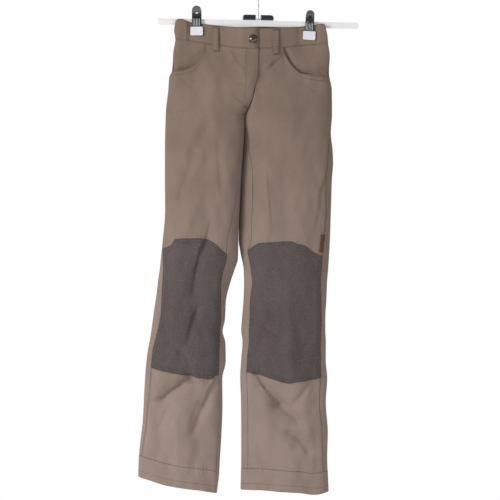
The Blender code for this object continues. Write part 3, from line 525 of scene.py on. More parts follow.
def outseam_turn(side, down):
    """The outseam's turn, from how far in from the outer edge it lies on the front."""
    outer, inner = edges(side, FRONT, down)
    inset = read(leg_table(side), "down", "outseam", down)
    return turn_of_reach(1 - 2 * np.maximum(inset, 0) / np.abs(inner - outer), down)


def inseam_turn(side, down):
    """The inseam's turn below the crotch. Above it, this is the centre seam at pi."""
    outer, inner = edges(side, FRONT, down)
    inset = np.where(down < CROTCH, 0, read(leg_table(side), "down", "inseam", down))
    return turn_of_reach(2 * np.maximum(inset, 0) / np.abs(inner - outer) - 1, down)


def lift_over_fly(side, turn, down):
    """How far the right front is lifted over the left one where they lap."""
    if side == LEFT_SIDE:
        return np.zeros(np.broadcast(turn, down).shape)
    x = cloth(side, turn, down)[..., 0]
    fly = read(CENTRE_SEAMS, "down", "fly", down)
    amount = FLY_LIFT + (BAND_LIFT - FLY_LIFT) * (1 - rise(down, BAND_HEIGHT, 56))
    near_edge = rise(x, fly - LIFT_STARTS, fly - LIFT_STARTS + LIFT_WIDTH)
    return amount * near_edge * (1 - rise(down, FLY_LAP_ENDS, FLY_LAP_ENDS + 20)) * (turn <= math.pi)


# The small creases of each front and back, from one place to another: a trough with one sharp and one
# soft side, or a ridge where the depth is under 0.
FRONT_CREASES = table(
    FOLD_COLUMNS,
    (-52.7, 49.7, -37, 77, 4, 1.6),
    (-37, 77, -24, 92, 4, 1.4),
    (-39, 118, -23.4, 122, 3, 1.2),
    (-42, 147, -29, 157, 4, 1.5),
    (51.9, 61.4, 28, 81.7, 4, 1.5),
    (28, 81.7, 9.4, 104.3, 4, 1.5),
    (-91, 384, -100, 420, 5, 1.5),
    (-100, 684, -75, 690, 6, 2.5),
    (58.5, 440, 58, 690, 4, -1.6),
    (-150, 110, -128, 128, 6, 0.9),
    (86, 118, 116, 138, 6, 0.9),
    (-100, 52, -90, 84, 6, 0.9),
    (140, 219, 132.6, 297, 5, 2.6),
    (132.6, 297, 120, 336, 5, 3),
    (120, 336, 119, 360, 5, 3),
    (119, 360, 113, 395, 6, 1.5),
    (-127, 262, -150, 330, 8, 1.6),
    (-78, 240, -72, 330, 8, 1.2),
    (-168, 300, -160, 400, 9, 1.1),
    (20, 300, 28, 408, 9, 1.1),
    (92, 240, 84, 330, 8, 1.2),
    (-101, 420, -112, 447, 6, 3),
    (-112, 447, -121, 483, 6, 3),
    (-121, 483, -126, 523, 6, 2.4),
    (-118, 557, -126, 574, 6, 2.6),
    (-126, 574, -133, 600, 6, 2.6),
    (-133, 600, -136, 619, 6, 2),
    (-170, 627, -154, 637, 6, 2.6),
    (-154, 637, -140, 648, 6, 2.6),
    (-140, 648, -134.6, 662, 6, 2),
    (-169.6, 500, -141, 500, 2.2, 1.3),
    (-119, 510, -72.7, 510, 2.2, 1.3),
    (-199, 632, -169.6, 632, 2.2, 1.3),
    (-111.5, 652, -75, 642.5, 2.2, 1.3),
    (-10.7, 509, 23.4, 509, 2.2, 1.3),
    (95.5, 516, 121, 518.5, 2.2, 1.3),
    (-2.5, 644, 34.7, 650, 2.2, 1.3),
    (64.3, 656, 121, 648, 2.2, 1.3),
    (17.5, 595, 43, 612, 5, 2),
    (-135, 687, -184, 728, 6, 4),
    (-184, 728, -206, 734, 7, 2),
    (-172, 740, -192, 783, 6, 2.4),
    (-132.6, 694, -99.5, 696, 6, 4),
    (-76, 684, -93.6, 711, 6, 2.4),
    (-93.6, 711, -105, 742, 6, 2.4),
    (-105, 742, -125, 790, 7, 2),
    (-159, 734, -159, 851, 3, -1.2),
    (-2.5, 684, 12.7, 708, 6, 3.6),
    (12.7, 708, 39, 742, 6, 4.2),
    (39, 742, 59.7, 759.5, 6, 4.2),
    (59.7, 759.5, 76, 773, 6, 3.4),
    (25, 719, 52.6, 746, 12, 1),
    (61, 798.5, 80, 814, 6, 3.8),
    (80, 814, 95, 833.6, 6, 4),
    (111, 812, 112, 868, 6, 2),
    (49.5, 699, 61, 712.7, 5, 1.6),
    (96.5, 701, 66.3, 740, 5, 2),
    (113, 694, 93, 738, 5, 1.8),
)
BACK_CREASES = table(
    FOLD_COLUMNS,
    (-150, 188, -100, 204, 6, 2.2),
    (-100, 204, -60, 206, 6, 1.6),
    (112, 190, 62, 206, 6, 2.2),
    (62, 206, 15, 210, 6, 1.6),
    (-140, 232, -70, 250, 7, 1.8),
    (104, 236, 24, 254, 7, 1.8),
    (-60, 84, -30, 120, 6, 1.4),
    (34, 80, 4, 122, 6, 1.4),
    (-118, 270, -126, 400, 8, 1.6),
    (58, 280, 50, 400, 8, 1.6),
    (-150, 320, -146, 470, 9, 1.2),
    (100, 330, 96, 480, 9, 1.2),
    (-186, 548, -140, 562, 6, 2.6),
    (-140, 562, -100, 560, 6, 2),
    (-92, 596, -130, 610, 6, 2.4),
    (-130, 610, -165, 606, 6, 2),
    (118, 552, 76, 568, 6, 2.6),
    (76, 568, 30, 566, 6, 2),
    (-8, 602, 34, 618, 6, 2.4),
    (34, 618, 74, 614, 6, 2),
    (-190, 690, -150, 720, 6, 2.4),
    (-150, 720, -120, 756, 6, 2),
    (106, 700, 66, 730, 6, 2.4),
    (66, 730, 30, 770, 6, 2),
    (-200, 800, -160, 826, 7, 1.8),
    (-104, 790, -140, 836, 7, 1.8),
    (116, 800, 82, 838, 7, 1.8),
    (-8, 796, 26, 840, 7, 1.8),
)
# A crease's two sides: how quickly its soft side fades (in widths), how wide its sharp side is, and the
# lip before it, as a share of the depth and how far off it lies.
SOFT_SIDE = 1.1
SHARP_SIDE = 2.4
LIP_SHARE = 0.35
LIP_OFF = 3.0

# Soft waves in the cloth: their number, shortest and longest length, height at the hips and on the
# legs, and how much longer they are down the cloth than across it.
WAVES = 16
WAVE_LENGTHS = (18.0, 75.0)
WAVE_HEIGHTS = (1.0, 1.3)
WAVE_STRETCH = 2.2
WAVE_SEEDS = {FRONT: 11, BACK: 29}

# The pucker beside a sewn seam: its height, its length along the seam and how far it reaches.
PUCKER_HEIGHT = 0.38
PUCKER_LENGTH = 8.5
PUCKER_REACH = 8.0

# How much deeper the creases are at the hips, and how far a pocket's turned-in edge stands up.
HIP_CREASES = 1.3
DOUBLED = 0.7

# How far the cloth's small shapes fade near the outline, and how far they are held flat in the band.
OUTLINE_FADE = 10.0
BAND_SLACK = 0.3

# The fine panels: rows in each stretch from the top to the hem seam, and the narrow strip at an edge.
TOP_ROWS = 26
HIP_ROWS = 78
THIGH_ROWS = 34
KNEE_ROWS = 98
SHIN_ROWS = 68
KNEE_LENGTH, SHIN_LENGTH = 258.0, 180.0
HIP_TOP, HIP_FOOT = 120.0, 333.0
PLAIN_KNEE = (430.0, 688.0)
POCKET_COLUMNS = 24
FRONT_COLUMNS = 36
BACK_COLUMNS = 60
EDGE_STRIP = 0.8
EDGE_THINNING = 0.35
FINE_CORNER_WIDTH = 1.4

# Sewing: a stitch every so often, its length, half its width and how far it stands out of the cloth.
STITCH_PITCH = 3.2
STITCH_LENGTH = 2.5
STITCH_RADIUS = 0.5
STITCH_STANDS = 0.3
STITCH_SIDES = 6


def creases(source, x, low):
    """How far in the creases take the cloth: sharp on one side of each line and soft on the other."""
    total = np.zeros(np.shape(x))
    for x1, low1, x2, low2, width, depth in zip(*source.values()):
        run, fall = x2 - x1, low2 - low1
        length = math.hypot(run, fall)
        along = ((x - x1) * run + (low - low1) * fall) / length**2
        on_line = np.clip(along, 0, 1)
        past_end = np.abs(along - on_line) * length
        sideways = ((x - x1) * fall - (low - low1) * run) / length
        soft = np.exp(-np.maximum(sideways, 0) / (SOFT_SIDE * width)) * rise(sideways, -SHARP_SIDE, 0)
        lip = LIP_SHARE * np.exp(-(((sideways + SHARP_SIDE + LIP_OFF) / LIP_OFF) ** 2))
        ends = np.exp(-((past_end / width) ** 2))
        ends = ends * (0.45 + 0.55 * np.sin(math.pi * np.clip(along, 0.1, 0.9)))
        near = 1 - rise(np.abs(sideways), 3 * width, 5 * width)
        total = total + depth * (soft - lip) * ends * near
    return total


def waves(face, x, low):
    """Soft uneven waves, as a sum of seeded plane waves that run mostly across the cloth."""
    chance = np.random.default_rng(WAVE_SEEDS[face])
    total = np.zeros(np.shape(x))
    for _ in range(WAVES):
        length = chance.uniform(*WAVE_LENGTHS)
        angle = chance.uniform(-0.9, 0.9)
        phase = chance.uniform(0, 2 * math.pi)
        run = x * math.cos(angle) + low / WAVE_STRETCH * math.sin(angle)
        bend = 0.6 * np.sin(low / chance.uniform(60, 160) + phase)
        total = total + np.sin(2 * math.pi * run / length + phase + bend) * length / WAVE_LENGTHS[1]
    height = WAVE_HEIGHTS[0] + (WAVE_HEIGHTS[1] - WAVE_HEIGHTS[0]) * rise(low, 150, 320)
    return total * height * 2 / math.sqrt(WAVES)


def pucker(away, along, phase):
    """The small waves that a seam's thread pulls into the cloth beside it."""
    wave = np.sin(2 * math.pi * along / PUCKER_LENGTH + phase + 1.4 * np.sin(along / 11.3 + phase))
    return PUCKER_HEIGHT * wave * np.exp(-((away / PUCKER_REACH) ** 2))


def mouth_corner(side):
    """Where a pocket mouth meets the waist seam (x)."""
    return RIGHT_MOUTH_CORNER if side == RIGHT_SIDE else LEFT_MOUTH_CORNER


def mouth_down(side, x):
    """How far down the pocket mouth is at x: the waist seam's own place past its corner."""
    if side == RIGHT_SIDE:
        depth = read(RIGHT_MOUTH, "x", "down", x)
        return np.where(x > RIGHT_MOUTH_CORNER, BAND_HEIGHT + WAIST_GAP, depth)
    depth = read(LEFT_MOUTH, "x", "down", x)
    return np.where(x < LEFT_MOUTH_CORNER, BAND_HEIGHT + WAIST_GAP, depth)


def knee_edges(side, across):
    """The top and the bottom of the knee patch (down) at a place across the leg."""
    patch = RIGHT_PATCH if side == RIGHT_SIDE else LEFT_PATCH
    return read(patch, "across", "top", across), read(patch, "across", "bottom", across)


def detail(side, turn, down, place):
    """How far the creases, the waves and the pucker move the cloth out of its plain surface."""
    x, low = place[..., 0], -place[..., 2] - HOOK_REACH
    on_front = np.mod(turn, 2 * math.pi) <= math.pi
    folds = np.where(on_front, creases(FRONT_CREASES, x, low), creases(BACK_CREASES, x, low))
    soft = np.where(on_front, waves(FRONT, x, low), waves(BACK, x, low))
    outer, inner = edges(side, np.where(on_front, FRONT, BACK), down)
    from_outer = np.clip(np.abs(x - outer) / OUTLINE_FADE, 0, 1)
    from_inner = 1 - closing(down) * (1 - np.clip(np.abs(x - inner) / OUTLINE_FADE, 0, 1))
    flat = (1 - rise(down, BAND_HEIGHT, DROOP_ENDS)) * (1 - rise(read(WAIST, "x", "half", x), 3.2, 10))
    flat = np.maximum(flat, (1 - BAND_SLACK) * (1 - rise(down, BAND_HEIGHT - 6, BAND_HEIGHT + 16)))

    across = np.clip((x - outer) / (inner - outer), 0, 1)
    knee_top, knee_bottom = knee_edges(side, across)
    seams = pucker(down - BAND_HEIGHT, x, 0.4) + pucker(down - HEM_SEAM, x, 1.7)
    at_patch = pucker(down - knee_top, x, 2.9) + pucker(down - knee_bottom, x, 4.1)
    seams = seams + np.where(on_front, at_patch, 0)
    pocket = np.where(on_front & (side * (x - mouth_corner(side)) > 0), 1, 0)
    seams = seams + pocket * pucker(down - mouth_down(side, x) - 5, x, 5.2)
    speed = np.abs(inner - outer) / 2
    turned = np.mod(turn, 2 * math.pi)
    at_outseam = np.minimum(np.abs(turned - outseam_turn(side, down)), np.abs(turned - 2 * math.pi)) * speed
    at_inseam = np.abs(turned - inseam_turn(side, down)) * speed
    seams = seams + pucker(at_outseam, low, 0.9) + np.where(down > CROTCH, pucker(at_inseam, low, 3.3), 0)
    hips = 1 + (HIP_CREASES - 1) * (1 - rise(down, 150, 200))
    doubled = pocket * DOUBLED * (1 - rise(down - mouth_down(side, x), 8.5, 10.5))
    return (soft - folds * hips + seams + doubled) * from_outer * from_inner * (1 - flat)


def surface(side, turns, downs):
    """The cloth's outer face with all its small shapes, and the direction out of it."""
    turns, downs = np.broadcast_arrays(turns, np.asarray(downs, float))
    place = cloth(side, turns, downs)
    out = outward(side, turns, downs)
    return place + out * detail(side, turns, downs, place)[..., None], out


def link(name, mesh, look, node, body="root"):
    """Puts a mesh into the scene with its material, riding on the part in place of its solid."""
    thing = bpy.data.objects.new(name, mesh)
    bpy.context.scene.collection.objects.link(thing)
    mesh.materials.append(LOOKS[look])
    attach(thing, body)
    if node:
        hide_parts(*node)
    return thing


def volume(points, faces):
    """Six times the volume that quads or triangles enclose, over 0 where they point out."""
    first, second, third = points[faces[:, 0]], points[faces[:, 1]], points[faces[:, 2]]
    total = np.einsum("ij,ij->i", first, np.cross(second, third)).sum()
    if faces.shape[1] == 4:
        fourth = points[faces[:, 3]]
        total += np.einsum("ij,ij->i", first, np.cross(third, fourth)).sum()
    return total


def mesh_of(name, points, faces, uv=None, smooth=True):
    """A closed mesh from points in millimetres, turned to face out. uv is in metres, point by point."""
    points, faces = np.asarray(points, float) * MM, np.asarray(faces)
    if volume(points, faces) < 0:
        faces = faces[:, ::-1]
    mesh = bpy.data.meshes.new(name)
    mesh.from_pydata(points.tolist(), [], faces.tolist())
    if uv is not None:
        layer = mesh.uv_layers.new(name="UVMap")
        at_corners = (np.asarray(uv) * MM)[faces.reshape(-1)]
        layer.data.foreach_set("uv", at_corners.astype(np.float32).reshape(-1))
    mesh.polygons.foreach_set("use_smooth", np.full(len(faces), smooth))
    mesh.update()
    return mesh


def grid_quads(rows, columns, first=0, round_it=False):
    """The quads of a grid of points. A grid that goes round also joins its last column to its first."""
    i, j = np.meshgrid(np.arange(rows - 1), np.arange(columns if round_it else columns - 1), indexing="ij")
    k = (j + 1) % columns
    corners = [i * columns + j, i * columns + k, (i + 1) * columns + k, (i + 1) * columns + j]
    return np.stack(corners, axis=-1).reshape(-1, 4) + first


def rim(rows, columns, round_it):
    """The points along the border of a grid, in order, as one or two closed loops of (row, column)."""
    top = [(0, j) for j in range(columns)]
    foot = [(rows - 1, j) for j in range(columns)]
    if round_it:
        return [top + top[:1], foot + foot[:1]]
    right = [(i, columns - 1) for i in range(1, rows)]
    left = [(i, 0) for i in range(rows - 2, -1, -1)]
    return [top + right + foot[-2::-1] + left]


def thread_map(face):
    """The two coordinates of the weave on a grid: along its rows from the middle, and down its columns."""
    across = np.linalg.norm(np.diff(face, axis=1), axis=2).cumsum(axis=1)
    across = np.concatenate([np.zeros((len(face), 1)), across], axis=1)
    across = across - across[:, across.shape[1] // 2, None]
    down = np.linalg.norm(np.diff(face, axis=0), axis=2).cumsum(axis=0)
    down = np.concatenate([np.zeros((1, face.shape[1])), down]).mean(axis=1)
    return np.stack([across, np.broadcast_to(-down[:, None], across.shape)], axis=-1)


def between_grids(name, outer, inner, look, node, round_it=False, uv=None):
    """A closed wall between two grids of as many points, joined along their borders."""
    rows, columns = outer.shape[:2]
    count = rows * columns
    faces = [grid_quads(rows, columns, 0, round_it), grid_quads(rows, columns, count, round_it)[:, ::-1]]
    for loop in rim(rows, columns, round_it):
        at = np.array([i * columns + j for i, j in loop])
        faces.append(np.stack([at[1:], at[:-1], at[:-1] + count, at[1:] + count], axis=1))
    points = np.concatenate([outer.reshape(-1, 3), inner.reshape(-1, 3)])
    return link(name, mesh_of(name, points, np.concatenate(faces), uv), look, node)


def wall(name, face, out, thickness, look, node, round_it=False):
    """A closed wall of cloth inwards from a grid, thinner at its edges, where it is turned in."""
    full = np.ones(face.shape[:2])
    full[[0, -1]] = EDGE_THINNING
    if not round_it:
        full[:, [0, -1]] = EDGE_THINNING
    ease = (1 - full)[..., None] * thickness / 2
    uv = thread_map(face).reshape(-1, 2)
    outer, inner = face - out * ease, face - out * (thickness - ease)
    return between_grids(name, outer, inner, look, node, round_it, np.concatenate([uv, uv]))


def cut_piece(name, side, turns, downs, thickness, proud=0.0, lift=0.0, look="cloth", round_it=False):
    """A piece of cloth over a fine grid of turns and downs, in place of its solid."""
    face, out = surface(side, turns, downs)
    face = face + out * np.broadcast_to(proud + lift, turns.shape)[..., None]
    thing = wall(name + "_cloth", face, out, thickness, look, [name], round_it)
    plain = cloth(side, turns, downs)
    return {"face": face, "out": out, "plain": plain, "turns": turns, "downs": downs, "object": thing}


def say_sheet(piece, *rests_on, round_it=False):
    """Works out the size of a piece's cut: the longest row, the middle one of the columns by length, and the
    whole area of the plain cloth that it is made on, before creases and waves. It keeps none of them."""
    plain = piece["plain"]
    if round_it:
        plain = np.concatenate([plain, plain[:, :1]], axis=1)
    width = np.linalg.norm(np.diff(plain, axis=1), axis=2).sum(axis=1).max() * MM
    length = np.median(np.linalg.norm(np.diff(plain, axis=0), axis=2).sum(axis=0)) * MM
    slant, other = plain[1:, 1:] - plain[:-1, :-1], plain[1:, :-1] - plain[:-1, 1:]
    area = np.linalg.norm(np.cross(slant, other), axis=2).sum() / 2 * MM**2
    length = max(length, area / width)


def shares(count, strip):
    """Even shares from 0 to 1, with a narrow strip at both ends."""
    return np.concatenate([[0, strip], np.linspace(0, 1, count)[1:-1], [1 - strip, 1]])


def between(start, end, share):
    """Rows at each share of the way from a start to an end, a column for each start."""
    return start + (end - start) * np.asarray(share)[:, None]


def panel_rows(top, knee_top, knee_bottom):
    """The rows of a panel, as one column of downs for each value of top, knee_top and knee_bottom."""
    foot = HEM_SEAM - SEAM_GAP / 2
    level = np.full(len(top), HIP_TOP), np.full(len(top), HIP_FOOT)
    strip = EDGE_STRIP / (HIP_TOP - BAND_HEIGHT)
    shin = np.concatenate([np.linspace(0, 1, SHIN_ROWS)[1:-1], [1 - EDGE_STRIP / SHIN_LENGTH, 1]])
    return np.concatenate([
        between(top, level[0], np.concatenate([[0, strip], np.linspace(0, 1, TOP_ROWS)[1:-1]])),
        between(level[0], level[1], np.linspace(0, 1, HIP_ROWS)[:-1]),
        between(level[1], knee_top, np.linspace(0, 1, THIGH_ROWS)[:-1]),
        between(knee_top, knee_bottom, shares(KNEE_ROWS, EDGE_STRIP / KNEE_LENGTH)),
        between(knee_bottom, foot, shin),
    ])


def knee_rows():
    """The numbers of the first and the last row of the knee patch in a panel."""
    first = TOP_ROWS + HIP_ROWS - 1 + THIGH_ROWS - 1
    return first, first + KNEE_ROWS + 2


def column_across(side, parts, level):
    """Where the columns of a front are at a level, from the leg's outer edge (0) to its inner edge (1)."""
    start, end = outseam_turn(side, level), inseam_turn(side, level)
    return (1 - reach_of_turn(start + (end - start) * parts, level)) / 2


def make_front(side, name):
    """A front, from the outseam to the fly and the inseam, cut away at the top for its pocket."""
    corner = mouth_corner(side)
    level = CORNER_LEVEL
    start, end = outseam_turn(side, level), inseam_turn(side, level)
    at_corner = (turn_at(side, corner - side * 0.2, level) - start) / (end - start)
    before_corner = (turn_at(side, corner + side * FINE_CORNER_WIDTH, level) - start) / (end - start)
    strip = EDGE_STRIP / abs(corner)
    pocket_part = before_corner * np.concatenate([[0, strip], np.linspace(0, 1, POCKET_COLUMNS)[1:]])
    rest = np.concatenate([np.linspace(0, 1, FRONT_COLUMNS)[:-1], [1 - strip, 1]])
    parts = np.concatenate([pocket_part, at_corner + (1 - at_corner) * rest])

    x = cloth(side, start + (end - start) * parts, level)[..., 0]
    knee_top = knee_edges(side, column_across(side, parts, PLAIN_KNEE[0]))[0]
    knee_bottom = knee_edges(side, column_across(side, parts, PLAIN_KNEE[1]))[1]
    downs = panel_rows(mouth_down(side, x), knee_top, knee_bottom)
    first = beside(side, outseam_turn(side, downs), downs, SEAM_GAP / 2)
    seam = inseam_turn(side, downs)
    last = np.where(downs < CROTCH, seam, beside(side, seam, downs, -SEAM_GAP / 2))
    turns = first + (last - first) * parts
    below_mouth = downs - mouth_down(side, x)
    gape = MOUTH_GAPE * np.exp(-((below_mouth / MOUTH_GAPE_REACH) ** 2))
    gape = gape * np.where(parts < at_corner, np.sin(math.pi * np.minimum(parts / at_corner, 1)), 0)
    piece = cut_piece(name, side, turns, downs, CLOTH, lift=lift_over_fly(side, turns, downs) + gape)
    piece["pocket_columns"] = int((parts < at_corner).sum())
    return piece


def make_back(side, name, front):
    """A back, from the inseam round the back to the outseam. Its rows meet the front's rows at both seams."""
    parts = shares(BACK_COLUMNS, EDGE_STRIP / 170)
    at_outseam, at_inseam = front["downs"][:, :1], front["downs"][:, -1:]
    downs = at_inseam + (at_outseam - at_inseam) * parts
    top = BAND_HEIGHT + WAIST_GAP
    first_rows = TOP_ROWS
    share = (front["downs"][:first_rows, -1:] - top) / (HIP_TOP - top)
    downs[:first_rows] = top + (HIP_TOP - top) * share
    seam = inseam_turn(side, downs)
    first = np.where(downs < CROTCH, math.pi + TINY, beside(side, seam, downs, SEAM_GAP / 2))
    last = 2 * math.pi + beside(side, outseam_turn(side, downs), downs, -SEAM_GAP / 2)
    return cut_piece(name, side, first + (last - first) * parts, downs, CLOTH)


# Where each pocket gapes (x), and how much deeper its facing lies there.
GAPES = {RIGHT_SIDE: (-163.0, -122.0), LEFT_SIDE: (72.0, 118.0)}
GAPE_DEPTH = 5.0


def make_facing(side, name):
    """The piece that shows above a pocket mouth, sinks towards it and runs on behind the front."""
    level = CORNER_LEVEL
    corner = mouth_corner(side)
    start = beside(side, outseam_turn(side, level), level, SEAM_GAP / 2)
    end = turn_at(side, corner - side * FACING_TUCK, level)
    turns = start + (end - start) * shares(26, 0.01)
    x = cloth(side, turns, level)[..., 0]
    mouth = np.where(side * (x - corner) > 0, mouth_down(side, x), BAND_HEIGHT + FACING_TUCK)
    mouth_end = RIGHT_MOUTH_END if side == RIGHT_SIDE else LEFT_MOUTH_END
    bottom = np.minimum(mouth + FACING_TUCK, mouth_end + FACING_TUCK / 2)
    top = BAND_HEIGHT + WAIST_GAP
    downs = top + (bottom - top) * shares(26, 0.01)[:, None]
    sunk = rise(downs - mouth, -FACING_SINKS_OVER[0], -FACING_SINKS_OVER[1])
    sunk = np.where(side * (x - corner) > 0, sunk, 1)
    turns, downs = np.broadcast_arrays(turns, downs)
    depth = np.abs(cloth(side, turns, downs)[..., 1])
    sink = np.clip(FACING_SINK_SHARE * depth, LEAST_SINK, FACING_SINK)
    x1, x2 = GAPES[side]
    gaping = np.sin(math.pi * np.clip((x - x1) / (x2 - x1), 0, 1)) * rise(downs - mouth, -11, -3)
    return cut_piece(name, side, turns, downs, CLOTH, proud=-sink * sunk - GAPE_DEPTH * gaping)


def finer(values, step):
    """A row of values with more between them, so that none are further apart than the step."""
    values = np.asarray(values, float)
    counts = np.maximum(np.ceil(np.abs(np.diff(values)) / step).astype(int), 1)
    pieces = [np.linspace(a, b, n, endpoint=False) for a, b, n in zip(values[:-1], values[1:], counts)]
    return np.concatenate(pieces + [values[-1:]])


BAND_END_COLUMNS = (0.2, 0.6, 1.3, 2.0, 3.2, 4.5)
BAND_PLACES = {
    RIGHT_SIDE: finer((-153, -147, -142.5, -140, -133.5, -105, -24, -10), 2.4),
    LEFT_SIDE: finer((121.5, 118.5, 116, 113, 86, 14, -4, -14), 2.4),
}
BAND_FOOT = BAND_HEIGHT + WAIST_GAP - 0.15
BAND_ROWS = np.concatenate([[0, 0.9], np.linspace(0, 1, 17)[1:-1] * BAND_FOOT, [BAND_FOOT - 0.9, BAND_FOOT]])


def band_turns(side, face, downs):
    """The columns of points along one half of the band, from its end to its middle."""
    outer = edges(side, face, downs)[0]
    near_end = outer - side * np.array(BAND_END_COLUMNS)
    columns = BAND_PLACES[side]
    on = np.broadcast_to(columns, (len(downs), len(columns)))
    turns = turn_at(side, np.concatenate([near_end, on], axis=1), downs, face)
    first = beside(side, TINY, downs, SEAM_GAP / 2)
    first = first if face == FRONT else 2 * math.pi - first
    middle = np.full(downs.shape, math.pi if face == FRONT else math.pi + TINY)
    return np.concatenate([first, turns, middle], axis=1)


def make_waistband():
    """The band in three lengths: two fronts that lap at the button, and the back."""
    downs = BAND_ROWS[:, None]
    made = []
    for side, name in ((RIGHT_SIDE, "waistband_front_right"), (LEFT_SIDE, "waistband_front_left")):
        turns = band_turns(side, FRONT, downs)
        turns, rows = np.broadcast_arrays(turns, downs)
        lift = lift_over_fly(side, turns, rows)
        made.append(cut_piece(name, side, turns, rows, BAND, proud=BAND_PROUD, lift=lift))
    halves = []
    for side in (RIGHT_SIDE, LEFT_SIDE):
        turns = band_turns(side, BACK, downs)
        keep = slice(None, -1) if side == RIGHT_SIDE else slice(None, -2)
        turns, rows = np.broadcast_arrays(turns[:, keep], downs)
        halves.append((*surface(side, turns, rows), cloth(side, turns, rows)))
    face, out, plain = (np.concatenate([a, b[:, ::-1]], axis=1) for a, b in zip(*halves))
    face = face + out * BAND_PROUD
    thing = wall("waistband_back_cloth", face, out, BAND, "cloth", ["waistband_back"])
    made.append({"face": face, "out": out, "plain": plain, "object": thing})
    return made


def make_hem(side, name, front, back):
    """The turned-up band at the foot of a leg, one ring, with a column under each of the panels' columns."""
    turns = np.concatenate([front["turns"][-1], back["turns"][-1, 1:-1]])
    top, strip = HEM_SEAM + SEAM_GAP / 2, EDGE_STRIP
    downs = np.concatenate([[top, top + strip], np.linspace(top, HEM, 17)[1:-1], [HEM - strip, HEM]])[:, None]
    turns, downs = np.broadcast_arrays(turns, downs)
    return cut_piece(name, side, turns, downs, HEM_BAND, proud=HEM_PROUD, round_it=True)


def make_patch(name, front):
    """A knee patch, made from the points of the front that it lies on, moved out."""
    rows = slice(*knee_rows())
    face, out = front["face"][rows], front["out"][rows]
    face = face + out * (LAYER_GAP + PATCH)
    thing = wall(name + "_cloth", face, out, PATCH, "patch", [name])
    return {"face": face, "out": out, "plain": front["plain"][rows], "object": thing}


LOOP_RIBS = 9
LOOP_RIB = 0.25


def make_loop(name, x, face, bow):
    """A belt loop: a strip over the band, sewn down past its lower seam and bowed between its ends."""
    side = RIGHT_SIDE if x < -20 else LEFT_SIDE
    share = shares(30, 0.012)[:, None]
    downs = LOOP_LENGTH[0] + (LOOP_LENGTH[1] - LOOP_LENGTH[0]) * share
    across = x + LOOP_HALF_WIDTH * np.concatenate([[-1, -0.9], np.linspace(-0.75, 0.75, 7), [0.9, 1]])
    turns = turn_at(side, across, downs, face)
    turns, downs = np.broadcast_arrays(turns, downs)
    on, out = surface(side, turns, downs)
    ribs = LOOP_RIB * np.sin(2 * math.pi * share * LOOP_RIBS)[..., None]
    stand = BAND_PROUD + LAYER_GAP + 0.15 + LOOP_RIB + ribs + bow * np.sin(math.pi * share)[..., None] ** 2
    top = on + out * (stand + LOOP)
    thing = wall(name + "_cloth", top, out, LOOP, "cloth", [name])
    return {"face": top, "out": out, "plain": cloth(side, turns, downs), "object": thing}


def make_tab():
    """The leather tab, on the left front beside the outseam, its top leaning a little outwards."""
    share = shares(18, 0.02)[:, None]
    downs = TAB["down"][0] + (TAB["down"][1] - TAB["down"][0]) * share
    width = TAB["x"][1] - TAB["x"][0]
    x = TAB["x"][0] + width * shares(8, 0.05) + TAB["lean"] * (1 - share)
    turns = turn_at(LEFT_SIDE, x, downs)
    turns, downs = np.broadcast_arrays(turns, downs)
    on, out = surface(LEFT_SIDE, turns, downs)
    face = on + out * (TAB["stand"] + TAB["thickness"])
    thing = wall("leather_tab_cloth", face, out, TAB["thickness"], "leather", ["leather_tab"])
    return {"face": face, "out": out, "object": thing}


def inset(piece, distance, edge, columns=slice(None)):
    """The line on a piece that lies a distance in from its top, foot, first or last edge, in two parts:
    its places and the directions out of the cloth there. It stops that distance short of both ends."""
    face, out = piece["face"][:, columns], piece["out"][:, columns]
    if edge in ("first", "last"):
        face, out = face.swapaxes(0, 1), out.swapaxes(0, 1)
    if edge in ("foot", "last"):
        face, out = face[::-1], out[::-1]
    reached = np.linalg.norm(np.diff(face, axis=0), axis=2).cumsum(axis=0)
    reached = np.concatenate([np.zeros((1, face.shape[1])), reached])
    row = np.clip((reached < distance).sum(axis=0) - 1, 0, len(face) - 2)
    column = np.arange(face.shape[1])
    part = (distance - reached[row, column]) / (reached[row + 1, column] - reached[row, column])
    part = part[:, None]
    return (
        face[row, column] + part * (face[row + 1, column] - face[row, column]),
        out[row, column] + part * (out[row + 1, column] - out[row, column]),
    )


def trimmed(line, start, end):
    """The same line without a length at its start and its end."""
    places, out = line
    along = np.concatenate([[0], np.linalg.norm(np.diff(places, axis=0), axis=1).cumsum()])
    keep = (along >= start) & (along <= along[-1] - end)
    return places[keep], out[keep]


def drawn(side, x, low, lift=0.0):
    """A line on the front of one side through the places (x, distance below the bar), with its directions."""
    x, low = finer_line(x, low)
    down = low.copy()
    for _ in range(4):
        turn = turn_at(side, x, down)
        down = down + low + cloth(side, turn, down)[..., 2] + HOOK_REACH
    turn = turn_at(side, x, down)
    places, out = surface(side, turn, down)
    stand = lift_over_fly(side, turn, down) + lift
    return places + out * stand[..., None], out


def finer_line(x, low):
    """The places along straight runs between the given ones, about 2 mm apart."""
    along = np.concatenate([[0], np.hypot(np.diff(x), np.diff(low)).cumsum()])
    at = np.linspace(0, along[-1], int(along[-1] / 2) + 2)
    return np.interp(at, along, x), np.interp(at, along, low)


